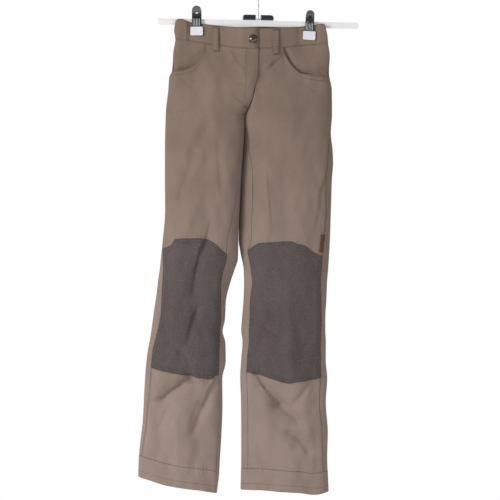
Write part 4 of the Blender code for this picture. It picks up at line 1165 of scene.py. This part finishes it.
def sew(
    name, lines, pitch=STITCH_PITCH, length=STITCH_LENGTH, radius=STITCH_RADIUS, across=False, look="thread"
):
    """Rows of stitches as one mesh: short round bars with narrower ends, sunk into the cloth."""
    centres, alongs, outs = [], [], []
    for places, out in lines:
        reached = np.concatenate([[0], np.linalg.norm(np.diff(places, axis=0), axis=1).cumsum()])
        count = int(reached[-1] / pitch)
        if count < 1:
            continue
        at = (np.arange(count) + 0.5) * reached[-1] / count
        ahead = np.clip(at + pitch / 4, 0, reached[-1])
        behind = np.clip(at - pitch / 4, 0, reached[-1])
        centre, front, rear, upright = (
            np.stack([np.interp(where, reached, source[:, axis]) for axis in range(3)], axis=1)
            for where, source in ((at, places), (ahead, places), (behind, places), (at, out))
        )
        run = front - rear
        centres.append(centre)
        alongs.append(run / np.linalg.norm(run, axis=1, keepdims=True))
        outs.append(upright / np.linalg.norm(upright, axis=1, keepdims=True))
    centre, along, out = np.concatenate(centres), np.concatenate(alongs), np.concatenate(outs)
    sideways = np.cross(along, out)
    if across:
        along, sideways = sideways, -along
    centre = centre + out * (STITCH_STANDS - radius)
    ends = np.array([-0.5, -0.3, 0.3, 0.5]) * length
    girth = np.array([0.45, 1, 1, 0.45]) * radius
    angle = np.arange(STITCH_SIDES) * 2 * math.pi / STITCH_SIDES
    ring = sideways[:, None] * np.cos(angle)[:, None] + out[:, None] * np.sin(angle)[:, None]
    points = (
        centre[:, None, None]
        + along[:, None, None] * ends[:, None, None]
        + ring[:, None] * girth[:, None, None]
    )
    one = np.concatenate([
        grid_quads(len(ends), STITCH_SIDES, 0, True),
        [[0, 3, 2, 1], [0, 5, 4, 3]],
        np.array([[0, 1, 2, 3], [0, 3, 4, 5]]) + STITCH_SIDES * (len(ends) - 1),
    ])
    each = len(ends) * STITCH_SIDES
    faces = (one[None] + each * np.arange(len(centre))[:, None, None]).reshape(-1, 4)
    return link(name, mesh_of(name, points.reshape(-1, 3), faces), look, [])


def turned(profile, sides):
    """Points and quads of a profile of (radius, height) turned round +Z, its ends closed by small rings."""
    angles = np.linspace(0, 2 * math.pi, sides, endpoint=False)
    circle = np.stack([np.cos(angles), np.sin(angles), np.zeros(sides)], axis=1)
    points = np.concatenate([circle * r + np.array([0, 0, h]) for r, h in profile])
    return points, capped(len(profile), sides)


def capped(rings, sides):
    """The quads of a tube of rings with an even number of sides, closed flat at both ends."""
    half = np.arange(1, sides // 2)
    cap = np.stack([half - 1, half, sides - 1 - half, sides - half], axis=1)
    cap[0] = (0, 1, sides - 2, sides - 1)
    return np.concatenate([grid_quads(rings, sides, 0, True), cap[:, ::-1], cap + sides * (rings - 1)])


def tube(path, radii, sides, level=(0, 1, 0)):
    """Points and quads of a round bar along a path, closed at both ends. Its rings start at right angles
    to the path and to the level direction."""
    path = np.asarray(path, float)
    direction = np.gradient(path, axis=0)
    direction = direction / np.linalg.norm(direction, axis=1, keepdims=True)
    across = np.cross(direction, level)
    across = across / np.linalg.norm(across, axis=1, keepdims=True)
    upright = np.cross(across, direction)
    angles = np.linspace(0, 2 * math.pi, sides, endpoint=False)
    circle = across[:, None] * np.cos(angles)[:, None] + upright[:, None] * np.sin(angles)[:, None]
    rings = path[:, None] + circle * np.broadcast_to(radii, len(path))[:, None, None]
    return rings.reshape(-1, 3), capped(len(path), sides)


# The button from its foot over the rolled rim to the top of its dome, as shares of its own size.
BUTTON_SHAPE = table(
    "radius height",
    (0.3, 0),
    (0.72, 0),
    (0.88, 0.06),
    (0.97, 0.16),
    (1, 0.28),
    (0.98, 0.4),
    (0.92, 0.5),
    (0.86, 0.52),
    (0.8, 0.49),
    (0.76, 0.52),
    (0.68, 0.68),
    (0.56, 0.82),
    (0.42, 0.92),
    (0.26, 0.98),
    (0.1, 1),
    (0.02, 1),
)


def make_button():
    """A domed metal button with a rolled rim and a low ring on its dome, square to the band under it."""
    side = RIGHT_SIDE
    turn = turn_at(side, BUTTON["x"], BUTTON["down"])
    place = cloth(side, turn, BUTTON["down"])
    out = outward(side, turn, BUTTON["down"])
    place = place + out * (BAND_PROUD + BAND_LIFT + LAYER_GAP)
    radii = BUTTON_SHAPE["radius"] * BUTTON["radius"]
    heights = BUTTON_SHAPE["height"] * BUTTON["height"]
    points, faces = turned(list(zip(radii, heights)), 48)
    sideways = np.cross(out, (0, 0, 1))
    sideways = sideways / np.linalg.norm(sideways)
    points = place + points @ np.stack([sideways, np.cross(out, sideways), out])
    link("button_metal", mesh_of("button_metal", points, faces), "button", ["button"])


def make_hook():
    """The wire hook: a foot on the bar, a straight stem, a bend aside, and a round over the rail."""
    radius = HOOK_INSIDE + WIRE_RADIUS
    leave = math.radians(-60)
    join = np.array([radius * math.cos(leave), -HOOK_INSIDE + radius * math.sin(leave)])
    bend_end = HOOK_BEND * (1 - math.cos(math.radians(60)))
    slope_drop = (join[0] - bend_end) * math.tan(math.radians(30))
    stem_top = join[1] - slope_drop - HOOK_BEND * math.sin(math.radians(60))
    foot = -HOOK_REACH + BAR["height"] / 2 + LAYER_GAP
    path = [(0, foot), (0, foot + 0.5), (0, foot + 2.6), (0, foot + 3.1)]
    radii = [HOOK_FOOT_RADIUS - 0.5, HOOK_FOOT_RADIUS, HOOK_FOOT_RADIUS, WIRE_RADIUS]
    path += [(0, foot + 3.4 + (stem_top - foot - 3.4) * part) for part in np.linspace(0, 1, 8)]
    for angle in np.radians(np.linspace(6, 60, 10)):
        path.append((HOOK_BEND * (1 - math.cos(angle)), stem_top + HOOK_BEND * math.sin(angle)))
    for angle in np.linspace(leave, math.radians(205), 72):
        path.append((radius * math.cos(angle), -HOOK_INSIDE + radius * math.sin(angle)))
    radii += [WIRE_RADIUS] * (len(path) - len(radii) - 2) + [WIRE_RADIUS * 0.9, WIRE_RADIUS * 0.5]
    points, faces = tube([(x, 0, z) for x, z in path], radii, 20)
    link("hook_wire", mesh_of("hook_wire", points, faces), "wire", ["hanger_hook"])


def tilted(points, degrees, centre):
    """Points turned in the XZ plane, clockwise seen from the front, then moved to the centre."""
    angle = math.radians(degrees)
    x, y, z = np.asarray(points, float).T
    turned_x = x * math.cos(angle) + z * math.sin(angle)
    turned_z = z * math.cos(angle) - x * math.sin(angle)
    return np.stack([turned_x, y, turned_z], axis=1) + centre


def bar_down(x):
    """How far below its own middle the tilted bar is at x."""
    return x * math.tan(math.radians(BAR["tilt_degrees"]))


# A clip's plate: the ribs on its lower part, its spring's wire, and its holes, as places across (in half
# widths) and up from the tip, with their radii.
PLATE_ROWS, PLATE_COLUMNS = 72, 44
RIB_PITCH = 3.0
RIB_HEIGHT = 0.5
RIBS_END = 17.0
SPRING_WIRE = 0.6
SPRING_TURNS = 7
CLIP_HOLES = (
    ("middle", 0.0, 35.0, 2.7),
    ("upper middle", 0.0, 27.6, 2.9),
    ("low right", -0.48, 17.6, 1.5),
    ("low left", 0.48, 17.6, 1.5),
)


def clip_plate(width, face):
    """A clip's plate, from its tip up to its round-topped lever, which bends away from the cloth: its
    inner side as a grid, and how much its outer side stands further out."""
    top = PLATE["height"]
    half = width / 2
    low_rows = np.linspace(0, top - half, PLATE_ROWS // 2)[:-1]
    high_rows = top - half + half * np.sin(np.linspace(0, math.pi / 2, PLATE_ROWS // 2))
    heights = np.concatenate([low_rows, high_rows])
    rounding = np.clip((heights - (top - half)) / half, 0, 1)
    halves = half * np.sqrt(1 - (0.985 * rounding) ** 2)
    bend = np.clip((heights - (top - PLATE["lever"])) / PLATE["lever"], 0, 1) ** 1.5
    x = halves[:, None] * np.linspace(-1, 1, PLATE_COLUMNS)
    z = np.broadcast_to(heights[:, None], x.shape)
    y = face * np.broadcast_to(PLATE["spread"] * bend[:, None], x.shape)
    on_ribs = rise(z, 0, 1.5) * (1 - rise(z, RIBS_END - 2, RIBS_END)) * (np.abs(x) < half - 1.0)
    ribs = RIB_HEIGHT * np.clip(np.cos(2 * math.pi * x / RIB_PITCH), 0, 1) * on_ribs
    return np.stack([x, y, z], axis=-1), ribs


def without_holes(thing, places, radius, direction):
    """The mesh of a thing less a round hole through each place, along a direction."""
    for place, size in zip(places, radius):
        points, faces = turned([(size, -9), (size, 9)], 24)
        sideways = np.cross(direction, (0, 0, 1.0))
        sideways = sideways / np.linalg.norm(sideways)
        points = place + points @ np.stack([sideways, np.cross(direction, sideways), direction])
        cutter = bpy.data.objects.new("cutter", mesh_of("cutter", points, faces))
        bpy.context.scene.collection.objects.link(cutter)
        cut = thing.modifiers.new("hole", "BOOLEAN")
        cut.operation, cut.solver, cut.object = "DIFFERENCE", "EXACT", cutter
        graph = bpy.context.evaluated_depsgraph_get()
        mesh = bpy.data.meshes.new_from_object(thing.evaluated_get(graph))
        thing.modifiers.clear()
        thing.data = mesh
        bpy.data.objects.remove(cutter)


def make_clip(word, x, tip_down, lean_degrees, width):
    """A clip's two steel plates with their ribs and holes, and the coil spring over the bar between them."""
    across = x + TIP["width"] / 2 * np.array([-1, 0, 1])
    pinched = read(WAIST, "x", "half", across).max() + BAND_PROUD + LAYER_GAP
    centre = np.array([x, 0, -(HOOK_REACH + tip_down)])
    for face, where in ((FRONT, "front"), (BACK, "back")):
        inside, ribs = clip_plate(width, face)
        shift = np.array([0, face * (pinched + 1.0), TIP["height"] / 2 + LAYER_GAP])
        shape = inside.shape
        inside = tilted((inside + shift).reshape(-1, 3), lean_degrees, centre).reshape(shape)
        outside = inside + np.stack([0 * ribs, face * (PLATE["thickness"] + ribs), 0 * ribs], axis=-1)
        name = f"clip_{word}_{where}_plate"
        thing = between_grids(name + "_steel", outside, inside, "dark_steel", [name])
        spots = [(part * width / 2, 0, up + TIP["height"] / 2 + LAYER_GAP) for _, part, up, _ in CLIP_HOLES]
        spots = tilted(spots, lean_degrees, centre)
        without_holes(thing, spots, [hole[3] for hole in CLIP_HOLES], np.array([0, 1.0, 0]))
        thing.data.shade_smooth()
        add_bevel(thing, 0.25, 2)
    radius = pinched + 1.0 - LAYER_GAP
    height = BAR["height"] / 2 + radius + LAYER_GAP - bar_down(x)
    leaning = (height + tip_down) * math.sin(math.radians(lean_degrees))
    angle = np.linspace(0, 2 * math.pi * SPRING_TURNS, 190)
    half_length = SPRING_LENGTH / 2 - SPRING_WIRE
    coil = np.stack([
        np.linspace(-half_length, half_length, len(angle)),
        (radius - SPRING_WIRE) * np.cos(angle),
        (radius - SPRING_WIRE) * np.sin(angle),
    ], axis=1)
    coil = tilted(coil, BAR["tilt_degrees"], (x + leaning, 0, height - HOOK_REACH))
    points, faces = tube(coil, SPRING_WIRE, 10, (1, 0, 0))
    name = f"clip_{word}_spring"
    link(name + "_steel", mesh_of(name, points, faces), "dark_steel", [name])


def add_bevel(thing, width, segments):
    """Rounds every edge that is sharper than 40 degrees, by a width in millimetres."""
    bevel = thing.modifiers.new("rounding", "BEVEL")
    bevel.width = width * MM
    bevel.segments = segments
    bevel.limit_method = "ANGLE"
    bevel.angle_limit = math.radians(40)


# The looks: a colour that varies, a fine surface, and the light that it gives back.


def socket(tree, name, kind, way, value=None):
    """A named input or output on a shader group."""
    made = tree.interface.new_socket(name=name, in_out=way, socket_type=kind)
    if value is not None:
        made.default_value = value


def group_of(name, inputs, outputs):
    """A new shader group with its named inputs (name, kind, value) and outputs (name, kind)."""
    tree = bpy.data.node_groups.new(name, "ShaderNodeTree")
    for label, kind, value in inputs:
        socket(tree, label, kind, "INPUT", value)
    for label, kind in outputs:
        socket(tree, label, kind, "OUTPUT")
    return tree, tree.nodes.new("NodeGroupInput").outputs, tree.nodes.new("NodeGroupOutput").inputs


def value_of(tree, operation, *inputs):
    """A maths node's output from numbers or other outputs."""
    node = tree.nodes.new("ShaderNodeMath")
    node.operation = operation
    for place, item in enumerate(inputs):
        if isinstance(item, (int, float)):
            node.inputs[place].default_value = item
        else:
            tree.links.new(item, node.inputs[place])
    return node.outputs[0]


def noise_of(tree, vector, scale, detail=2.0, roughness=0.5):
    """Noise over a vector, from 0 to 1. Each setting is a number or another node's output."""
    node = tree.nodes.new("ShaderNodeTexNoise")
    tree.links.new(vector, node.inputs["Vector"])
    for label, item in (("Scale", scale), ("Detail", detail), ("Roughness", roughness)):
        if isinstance(item, (int, float)):
            node.inputs[label].default_value = item
        else:
            tree.links.new(item, node.inputs[label])
    return node.outputs["Fac"]


def make_weave():
    """A twill: fine slanting lines over the two threads, as a height from 0 to 1."""
    tree, given, put = group_of(
        "weave",
        [("Thread map", "NodeSocketVector", None), ("Thread size", "NodeSocketFloat", 0.0009)],
        [("Height", "NodeSocketFloat")],
    )
    parts = tree.nodes.new("ShaderNodeSeparateXYZ")
    tree.links.new(given["Thread map"], parts.inputs[0])
    across = value_of(tree, "DIVIDE", parts.outputs[0], given["Thread size"])
    down = value_of(tree, "DIVIDE", parts.outputs[1], given["Thread size"])
    diagonal = value_of(tree, "ADD", across, down)
    slant = value_of(tree, "SINE", value_of(tree, "MULTIPLY", diagonal, 2 * math.pi))
    cross = value_of(tree, "SINE", value_of(tree, "MULTIPLY", across, 4 * math.pi))
    slanting = value_of(tree, "MULTIPLY", slant, 0.33)
    both = value_of(tree, "ADD", slanting, value_of(tree, "MULTIPLY", cross, 0.14))
    tree.links.new(value_of(tree, "ADD", both, 0.5), put["Height"])
    return tree


def make_mottle():
    """An uneven tone from 0 to 1: soft patches, and fine flecks as strong as their share."""
    tree, given, put = group_of(
        "mottle",
        [
            ("Place", "NodeSocketVector", None),
            ("Patch scale", "NodeSocketFloat", 14.0),
            ("Fleck scale", "NodeSocketFloat", 500.0),
            ("Fleck share", "NodeSocketFloat", 0.5),
        ],
        [("Tone", "NodeSocketFloat")],
    )
    soft = noise_of(tree, given["Place"], given["Patch scale"], 3.0, 0.5)
    fine = noise_of(tree, given["Place"], given["Fleck scale"], 3.0, 0.7)
    less = value_of(tree, "SUBTRACT", 1.0, given["Fleck share"])
    both = value_of(
        tree, "ADD",
        value_of(tree, "MULTIPLY", soft, less),
        value_of(tree, "MULTIPLY", fine, given["Fleck share"]),
    )
    sharper = value_of(tree, "MULTIPLY", value_of(tree, "SUBTRACT", both, 0.5), 2.6)
    held = tree.nodes.new("ShaderNodeClamp")
    tree.links.new(value_of(tree, "ADD", sharper, 0.5), held.inputs[0])
    tree.links.new(held.outputs[0], put["Tone"])
    return tree


def new_look(name, colour, roughness, metallic=0.0, sheen=0.0):
    """A material of one colour, with its node tree and its shader for what comes on top."""
    look = bpy.data.materials.new(name)
    look.use_nodes = True
    shader = look.node_tree.nodes["Principled BSDF"]
    shader.inputs["Base Color"].default_value = (*colour, 1)
    shader.inputs["Roughness"].default_value = roughness
    shader.inputs["Metallic"].default_value = metallic
    shader.inputs["Sheen Weight"].default_value = sheen
    look.diffuse_color = (*colour, 1)
    return look, look.node_tree, shader


def use_group(tree, group, **values):
    """A shader group placed in a material, each input set or linked, with its outputs."""
    node = tree.nodes.new("ShaderNodeGroup")
    node.node_tree = group
    for label, item in values.items():
        target = node.inputs[label.replace("_", " ")]
        if isinstance(item, (int, float)):
            target.default_value = item
        else:
            tree.links.new(item, target)
    return node.outputs


def mixed(tree, part, first, second):
    """A colour between two, by a part from 0 to 1. A colour may be another node's output."""
    node = tree.nodes.new("ShaderNodeMix")
    node.data_type = "RGBA"
    if isinstance(part, (int, float)):
        node.inputs["Factor"].default_value = part
    else:
        tree.links.new(part, node.inputs["Factor"])
    for target, item in ((node.inputs[6], first), (node.inputs[7], second)):
        if isinstance(item, tuple):
            target.default_value = (*item, 1)
        else:
            tree.links.new(item, target)
    return node.outputs[2]


def bump_of(tree, height, strength, distance):
    """The normal that a height gives, with its greatest distance in metres."""
    node = tree.nodes.new("ShaderNodeBump")
    node.inputs["Strength"].default_value = strength
    node.inputs["Distance"].default_value = distance
    tree.links.new(height, node.inputs["Height"])
    return node.outputs[0]


def cloth_look(
    name, top_pair, foot_pair, mottle, weave, fleck_share, fleck_scale, thread, roughness, sheen
):
    """Woven cloth: two tones in its mottle, under a fine weave, with painted light that makes it a little
    paler towards the foot.
    """
    look, tree, shader = new_look(name, top_pair[0], roughness, sheen=sheen)
    place = tree.nodes.new("ShaderNodeTexCoord")
    flecks = {"Fleck_scale": fleck_scale, "Fleck_share": fleck_share}
    tone = use_group(tree, mottle, Place=place.outputs["Object"], **flecks)
    parts = tree.nodes.new("ShaderNodeSeparateXYZ")
    tree.links.new(place.outputs["Object"], parts.inputs[0])
    # Painted light: the base colour grows paler from the waist down to the hems.
    painted_light_gradient = tree.nodes.new("ShaderNodeMapRange")
    painted_light_gradient.interpolation_type = "SMOOTHSTEP"
    tree.links.new(parts.outputs[2], painted_light_gradient.inputs["Value"])
    for label, item in (("From Min", -0.1), ("From Max", -0.95), ("To Min", 0.0), ("To Max", 1.0)):
        painted_light_gradient.inputs[label].default_value = item
    top = mixed(tree, tone["Tone"], *top_pair)
    foot = mixed(tree, tone["Tone"], *foot_pair)
    tree.links.new(mixed(tree, painted_light_gradient.outputs[0], top, foot), shader.inputs["Base Color"])
    threads = use_group(tree, weave, Thread_map=place.outputs["UV"], Thread_size=thread)
    crinkle = noise_of(tree, place.outputs["Object"], 160.0, 3.0, 0.55)
    height = value_of(tree, "ADD", value_of(tree, "MULTIPLY", threads["Height"], 0.35), crinkle)
    tree.links.new(bump_of(tree, height, 0.5, 0.0006), shader.inputs["Normal"])
    return look


# The two tones of each mottled surface. The cloth is painted darker at the waist and paler towards the hems,
# as painted light.
CLOTH_SHADED_TOP = ((0.155, 0.106, 0.078), (0.215, 0.152, 0.116))
CLOTH_LIT_FOOT = ((0.235, 0.172, 0.142), (0.30, 0.226, 0.192))
PATCH_TONES = ((0.044, 0.032, 0.03), (0.126, 0.1, 0.096))
LEATHER_TONES = ((0.05, 0.016, 0.009), (0.115, 0.04, 0.022))


def make_looks():
    """Every material, by the name of its finish."""
    mottle, weave = make_mottle(), make_weave()
    looks = {
        "cloth": cloth_look(
            "cloth", CLOTH_SHADED_TOP, CLOTH_LIT_FOOT, mottle, weave,
            fleck_share=0.45, fleck_scale=420.0, thread=0.0009, roughness=0.92, sheen=0.12,
        ),
        "patch": cloth_look(
            "patch", PATCH_TONES, PATCH_TONES, mottle, weave,
            fleck_share=0.82, fleck_scale=620.0, thread=0.0011, roughness=0.95, sheen=0.1,
        ),
        "thread": new_look("thread", (0.085, 0.056, 0.042), 0.8, sheen=0.1)[0],
        "bar": new_look("bar", (0.8, 0.79, 0.78), 0.3, 0.1)[0],
        "dark_steel": new_look("dark_steel", (0.07, 0.07, 0.072), 0.28, 1.0)[0],
        "wire": new_look("wire", (0.6, 0.6, 0.6), 0.22, 1.0)[0],
        "tip": new_look("tip", (0.68, 0.66, 0.73), 0.5)[0],
        "button": new_look("button", (0.13, 0.1, 0.075), 0.2, 1.0)[0],
    }
    looks["dart_thread"] = new_look("dart_thread", (0.12, 0.1, 0.098), 0.8, sheen=0.1)[0]
    looks["patch_thread"] = new_look("patch_thread", (0.03, 0.024, 0.024), 0.8, sheen=0.1)[0]
    leather, tree, shader = new_look("leather", (0.13, 0.035, 0.02), 0.5)
    place = tree.nodes.new("ShaderNodeTexCoord")
    grain = {"Patch_scale": 90.0, "Fleck_scale": 700.0, "Fleck_share": 0.5}
    tone = use_group(tree, mottle, Place=place.outputs["Object"], **grain)
    tree.links.new(mixed(tree, tone["Tone"], *LEATHER_TONES), shader.inputs["Base Color"])
    tree.links.new(bump_of(tree, tone["Tone"], 0.4, 0.0004), shader.inputs["Normal"])
    looks["leather"] = leather
    return looks


def light(name, place, towards, size, power):
    """A square soft light at a place, turned towards another."""
    lamp = bpy.data.lights.new(name, "AREA")
    lamp.size, lamp.energy = size, power
    thing = bpy.data.objects.new(name, lamp)
    bpy.context.scene.collection.objects.link(thing)
    thing.location = place
    thing.rotation_euler = (Vector(towards) - Vector(place)).to_track_quat("-Z", "Y").to_euler()


# Sewing that follows no edge, on the front of the cloth as places (x, distance below the bar): the fly's
# curved row, the row beside the tab, the darts of the knee patches and the tack at the foot of the fly.
FLY_STITCH = ((-23.4, -23.4, -23.6, -24.5, -27.9), (55.6, 92, 114, 132, 153))
TAB_BOX = ((133.6, 132.8), (412, 441))
KNEE_DARTS = (
    (RIGHT_SIDE, -169.6, 500, -141, 501),
    (RIGHT_SIDE, -119, 510, -74.7, 510.5),
    (RIGHT_SIDE, -199, 632, -169.6, 633),
    (RIGHT_SIDE, -111.5, 652, -77, 642.5),
    (LEFT_SIDE, -10.7, 509, 23.4, 510),
    (LEFT_SIDE, 95.5, 516, 119, 518.5),
    (LEFT_SIDE, -2.5, 644, 34.7, 650),
    (LEFT_SIDE, 64.3, 656, 119, 648),
)
FLY_TACKS = ((-27.9, 163, -14.8, 171),)

# How far from its edge each row of stitches runs: the rows at an edge, the second row at a pocket mouth
# and at a patch, the hem's row, and the rows on a belt loop and its tacks.
EDGE_ROW = 2.0
MOUTH_SECOND_ROW = 9.5
PATCH_SECOND_ROW = 8.0
HEM_ROW = 13.0
LOOP_ROW = 1.8
LOOP_TACK = 2.2
TAB_ROW = 1.4
ALL_EDGES = ("top", "foot", "first", "last")


def make_sewing(pieces):
    """The rows of stitches on every piece, in one mesh for each kind of thread."""
    cloth_lines, patch_lines, tacks = [], [], []
    for side, word in ((RIGHT_SIDE, "right"), (LEFT_SIDE, "left")):
        front, back = pieces[f"front_{word}"], pieces[f"back_{word}"]
        mouth = slice(0, front["pocket_columns"] - 1)
        cloth_lines += [inset(front, row, "top", mouth) for row in (EDGE_ROW, MOUTH_SECOND_ROW)]
        cloth_lines += [trimmed(inset(front, EDGE_ROW, "first"), 2, 2)]
        cloth_lines += [inset(pieces[f"hem_{word}"], HEM_ROW, "foot")]
        seat_rows = slice(0, TOP_ROWS + 20)
        seat = {"face": back["face"][seat_rows], "out": back["out"][seat_rows]}
        cloth_lines += [trimmed(inset(seat, EDGE_ROW, "first"), 2, 2)]
        patch = pieces[f"knee_patch_{word}"]
        for distance in (EDGE_ROW, PATCH_SECOND_ROW):
            for edge in ALL_EDGES:
                patch_lines.append(trimmed(inset(patch, distance, edge), distance, distance))
    for band in pieces["band"]:
        cloth_lines += [trimmed(inset(band, EDGE_ROW, edge), 2, 2) for edge in ("top", "foot")]
    for loop in pieces["loops"]:
        cloth_lines += [trimmed(inset(loop, LOOP_ROW, edge), 2, 2) for edge in ("first", "last")]
        tacks += [trimmed(inset(loop, LOOP_TACK, edge), 1.5, 1.5) for edge in ("top", "foot")]
    cloth_lines.append(drawn(RIGHT_SIDE, FLY_STITCH[0], FLY_STITCH[1]))
    cloth_lines.append(drawn(LEFT_SIDE, TAB_BOX[0], TAB_BOX[1]))
    for x1, low1, x2, low2 in FLY_TACKS:
        tacks.append(drawn(RIGHT_SIDE, (x1, x2), (low1, low2)))
    tab = pieces["tab"]
    leather_lines = [trimmed(inset(tab, TAB_ROW, edge), TAB_ROW, TAB_ROW) for edge in ALL_EDGES]
    sew("sewing_cloth", cloth_lines)
    sew("sewing_patches", patch_lines, look="patch_thread")
    darts = [
        drawn(side, (x1, x2), (low1, low2), LAYER_GAP + PATCH + 0.3)
        for side, x1, low1, x2, low2 in KNEE_DARTS
    ]
    sew("sewing_darts", darts, look="dart_thread")
    sew("sewing_tacks", tacks, pitch=0.85, length=2.6, across=True)
    sew("sewing_tab", leather_lines, pitch=2.2, length=1.6, radius=0.28, look="thread")


def make_trousers():
    """Every piece of the trousers, by name, with the grids that the sewing follows."""
    pieces = {}
    for side, word in ((RIGHT_SIDE, "right"), (LEFT_SIDE, "left")):
        front = make_front(side, f"front_{word}")
        back = make_back(side, f"back_{word}", front)
        pieces[f"front_{word}"], pieces[f"back_{word}"] = front, back
        pieces[f"facing_{word}"] = make_facing(side, f"pocket_facing_{word}")
        pieces[f"hem_{word}"] = make_hem(side, f"hem_{word}", front, back)
        pieces[f"knee_patch_{word}"] = make_patch(f"knee_patch_{word}", front)
    pieces["band"] = make_waistband()
    pieces["loops"] = [make_loop(name, **loop) for name, loop in LOOPS.items()]
    pieces["tab"] = make_tab()
    make_button()
    return pieces


def say_sheets(pieces):
    """Works out the size of each piece of cloth's cut, and keeps none of it."""
    for word in ("right", "left"):
        front, back, band = (f"{part}_{word}_cloth" for part in ("front", "back", "waistband_front"))
        say_sheet(pieces[f"front_{word}"], band)
        say_sheet(pieces[f"back_{word}"], "waistband_back_cloth")
        say_sheet(pieces[f"facing_{word}"], band)
        say_sheet(pieces[f"hem_{word}"], front, back, round_it=True)
        say_sheet(pieces[f"knee_patch_{word}"], front)
    band_right, band_left, band_back = pieces["band"]
    say_sheet(band_right, "clip_right_front_tip")
    say_sheet(band_left, "clip_left_front_tip")
    say_sheet(band_back, "clip_right_back_tip", "clip_left_back_tip")
    for loop, name in zip(pieces["loops"], LOOPS):
        band = "waistband_back" if "back" in name else name.replace("belt_loop", "waistband")
        say_sheet(loop, band + "_cloth")


def make_hanger():
    """The hook and the clips anew, and the bar, the blocks and the tips as they are, with better finishes."""
    make_hook()
    for word, clip in CLIPS.items():
        make_clip(word, **clip)
    kept = {
        "hanger_bar": ("bar", 0.5),
        "hanger_block_right": ("dark_steel", 0.6),
        "hanger_block_left": ("dark_steel", 0.6),
    }
    for word in CLIPS:
        for where in ("front", "back"):
            kept[f"clip_{word}_{where}_tip"] = ("tip", 0.7)
    for name, (look, width) in kept.items():
        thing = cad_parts[name]
        thing.data.materials.clear()
        thing.data.materials.append(LOOKS[look])
        add_bevel(thing, width, 3)


# The camera stands as the photograph's did, the floor lies under the picture, and the world lights the
# object with the ambient share of its white. Each lamp has its place, what it is turned to, its size and
# its power.
CAMERA_PLACE = (-0.0156, -3.0, -0.5417)
CAMERA_LENS = 110.77
FLOOR_Z = -1.35
AMBIENT = 0.42
LAMPS = {
    "key": ((-2.2, -1.7, 0.3), (-0.02, 0, -0.55), 0.9, 56.0),
    "fill": ((1.9, -2.2, -0.7), (-0.02, 0, -0.7), 1.6, 14.0),
    "low": ((-0.3, -2.6, -1.3), (-0.05, 0, -0.85), 1.0, 12.0),
    "back": ((0.6, 2.6, 0.3), (-0.02, 0, -0.55), 1.6, 20.0),
}


def set_scene():
    """White all round, four soft lamps, the floor and the camera."""
    scene = bpy.context.scene
    world = bpy.data.worlds.new("studio")
    scene.world = world
    world.use_nodes = True
    tree = world.node_tree
    ground = tree.nodes["Background"]
    ground.inputs["Color"].default_value = (1, 1, 1, 1)
    path = tree.nodes.new("ShaderNodeLightPath")
    strength = tree.nodes.new("ShaderNodeMapRange")
    tree.links.new(path.outputs["Is Camera Ray"], strength.inputs["Value"])
    strength.inputs["To Min"].default_value = AMBIENT
    strength.inputs["To Max"].default_value = 1.0
    tree.links.new(strength.outputs[0], ground.inputs["Strength"])
    for name, (place, towards, size, power) in LAMPS.items():
        light(name, place, towards, size, power)
    floor_mesh = bpy.data.meshes.new("floor")
    corners = [(-3, -3, FLOOR_Z), (3, -3, FLOOR_Z), (3, 1.9, FLOOR_Z), (-3, 1.9, FLOOR_Z)]
    floor_mesh.from_pydata(corners, [], [(0, 1, 2, 3)])
    floor = bpy.data.objects.new("floor", floor_mesh)
    scene.collection.objects.link(floor)
    floor_mesh.materials.append(new_look("floor", (0.8, 0.8, 0.8), 0.9)[0])
    camera = bpy.data.cameras.new("camera")
    camera.lens, camera.sensor_width = CAMERA_LENS, 36
    eye = bpy.data.objects.new("camera", camera)
    scene.collection.objects.link(eye)
    eye.location = CAMERA_PLACE
    eye.rotation_euler = (math.pi / 2, 0, 0)
    scene.camera = eye
    scene.view_settings.view_transform = "Standard"


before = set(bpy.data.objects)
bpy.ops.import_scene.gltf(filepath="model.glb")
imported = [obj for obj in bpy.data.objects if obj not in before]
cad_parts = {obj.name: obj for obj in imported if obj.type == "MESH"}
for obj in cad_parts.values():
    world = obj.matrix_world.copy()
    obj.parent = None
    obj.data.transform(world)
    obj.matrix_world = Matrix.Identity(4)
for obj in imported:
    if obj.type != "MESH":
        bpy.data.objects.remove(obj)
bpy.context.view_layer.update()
LOOKS = make_looks()
pieces = make_trousers()
say_sheets(pieces)
make_sewing(pieces)
make_hanger()
set_scene()
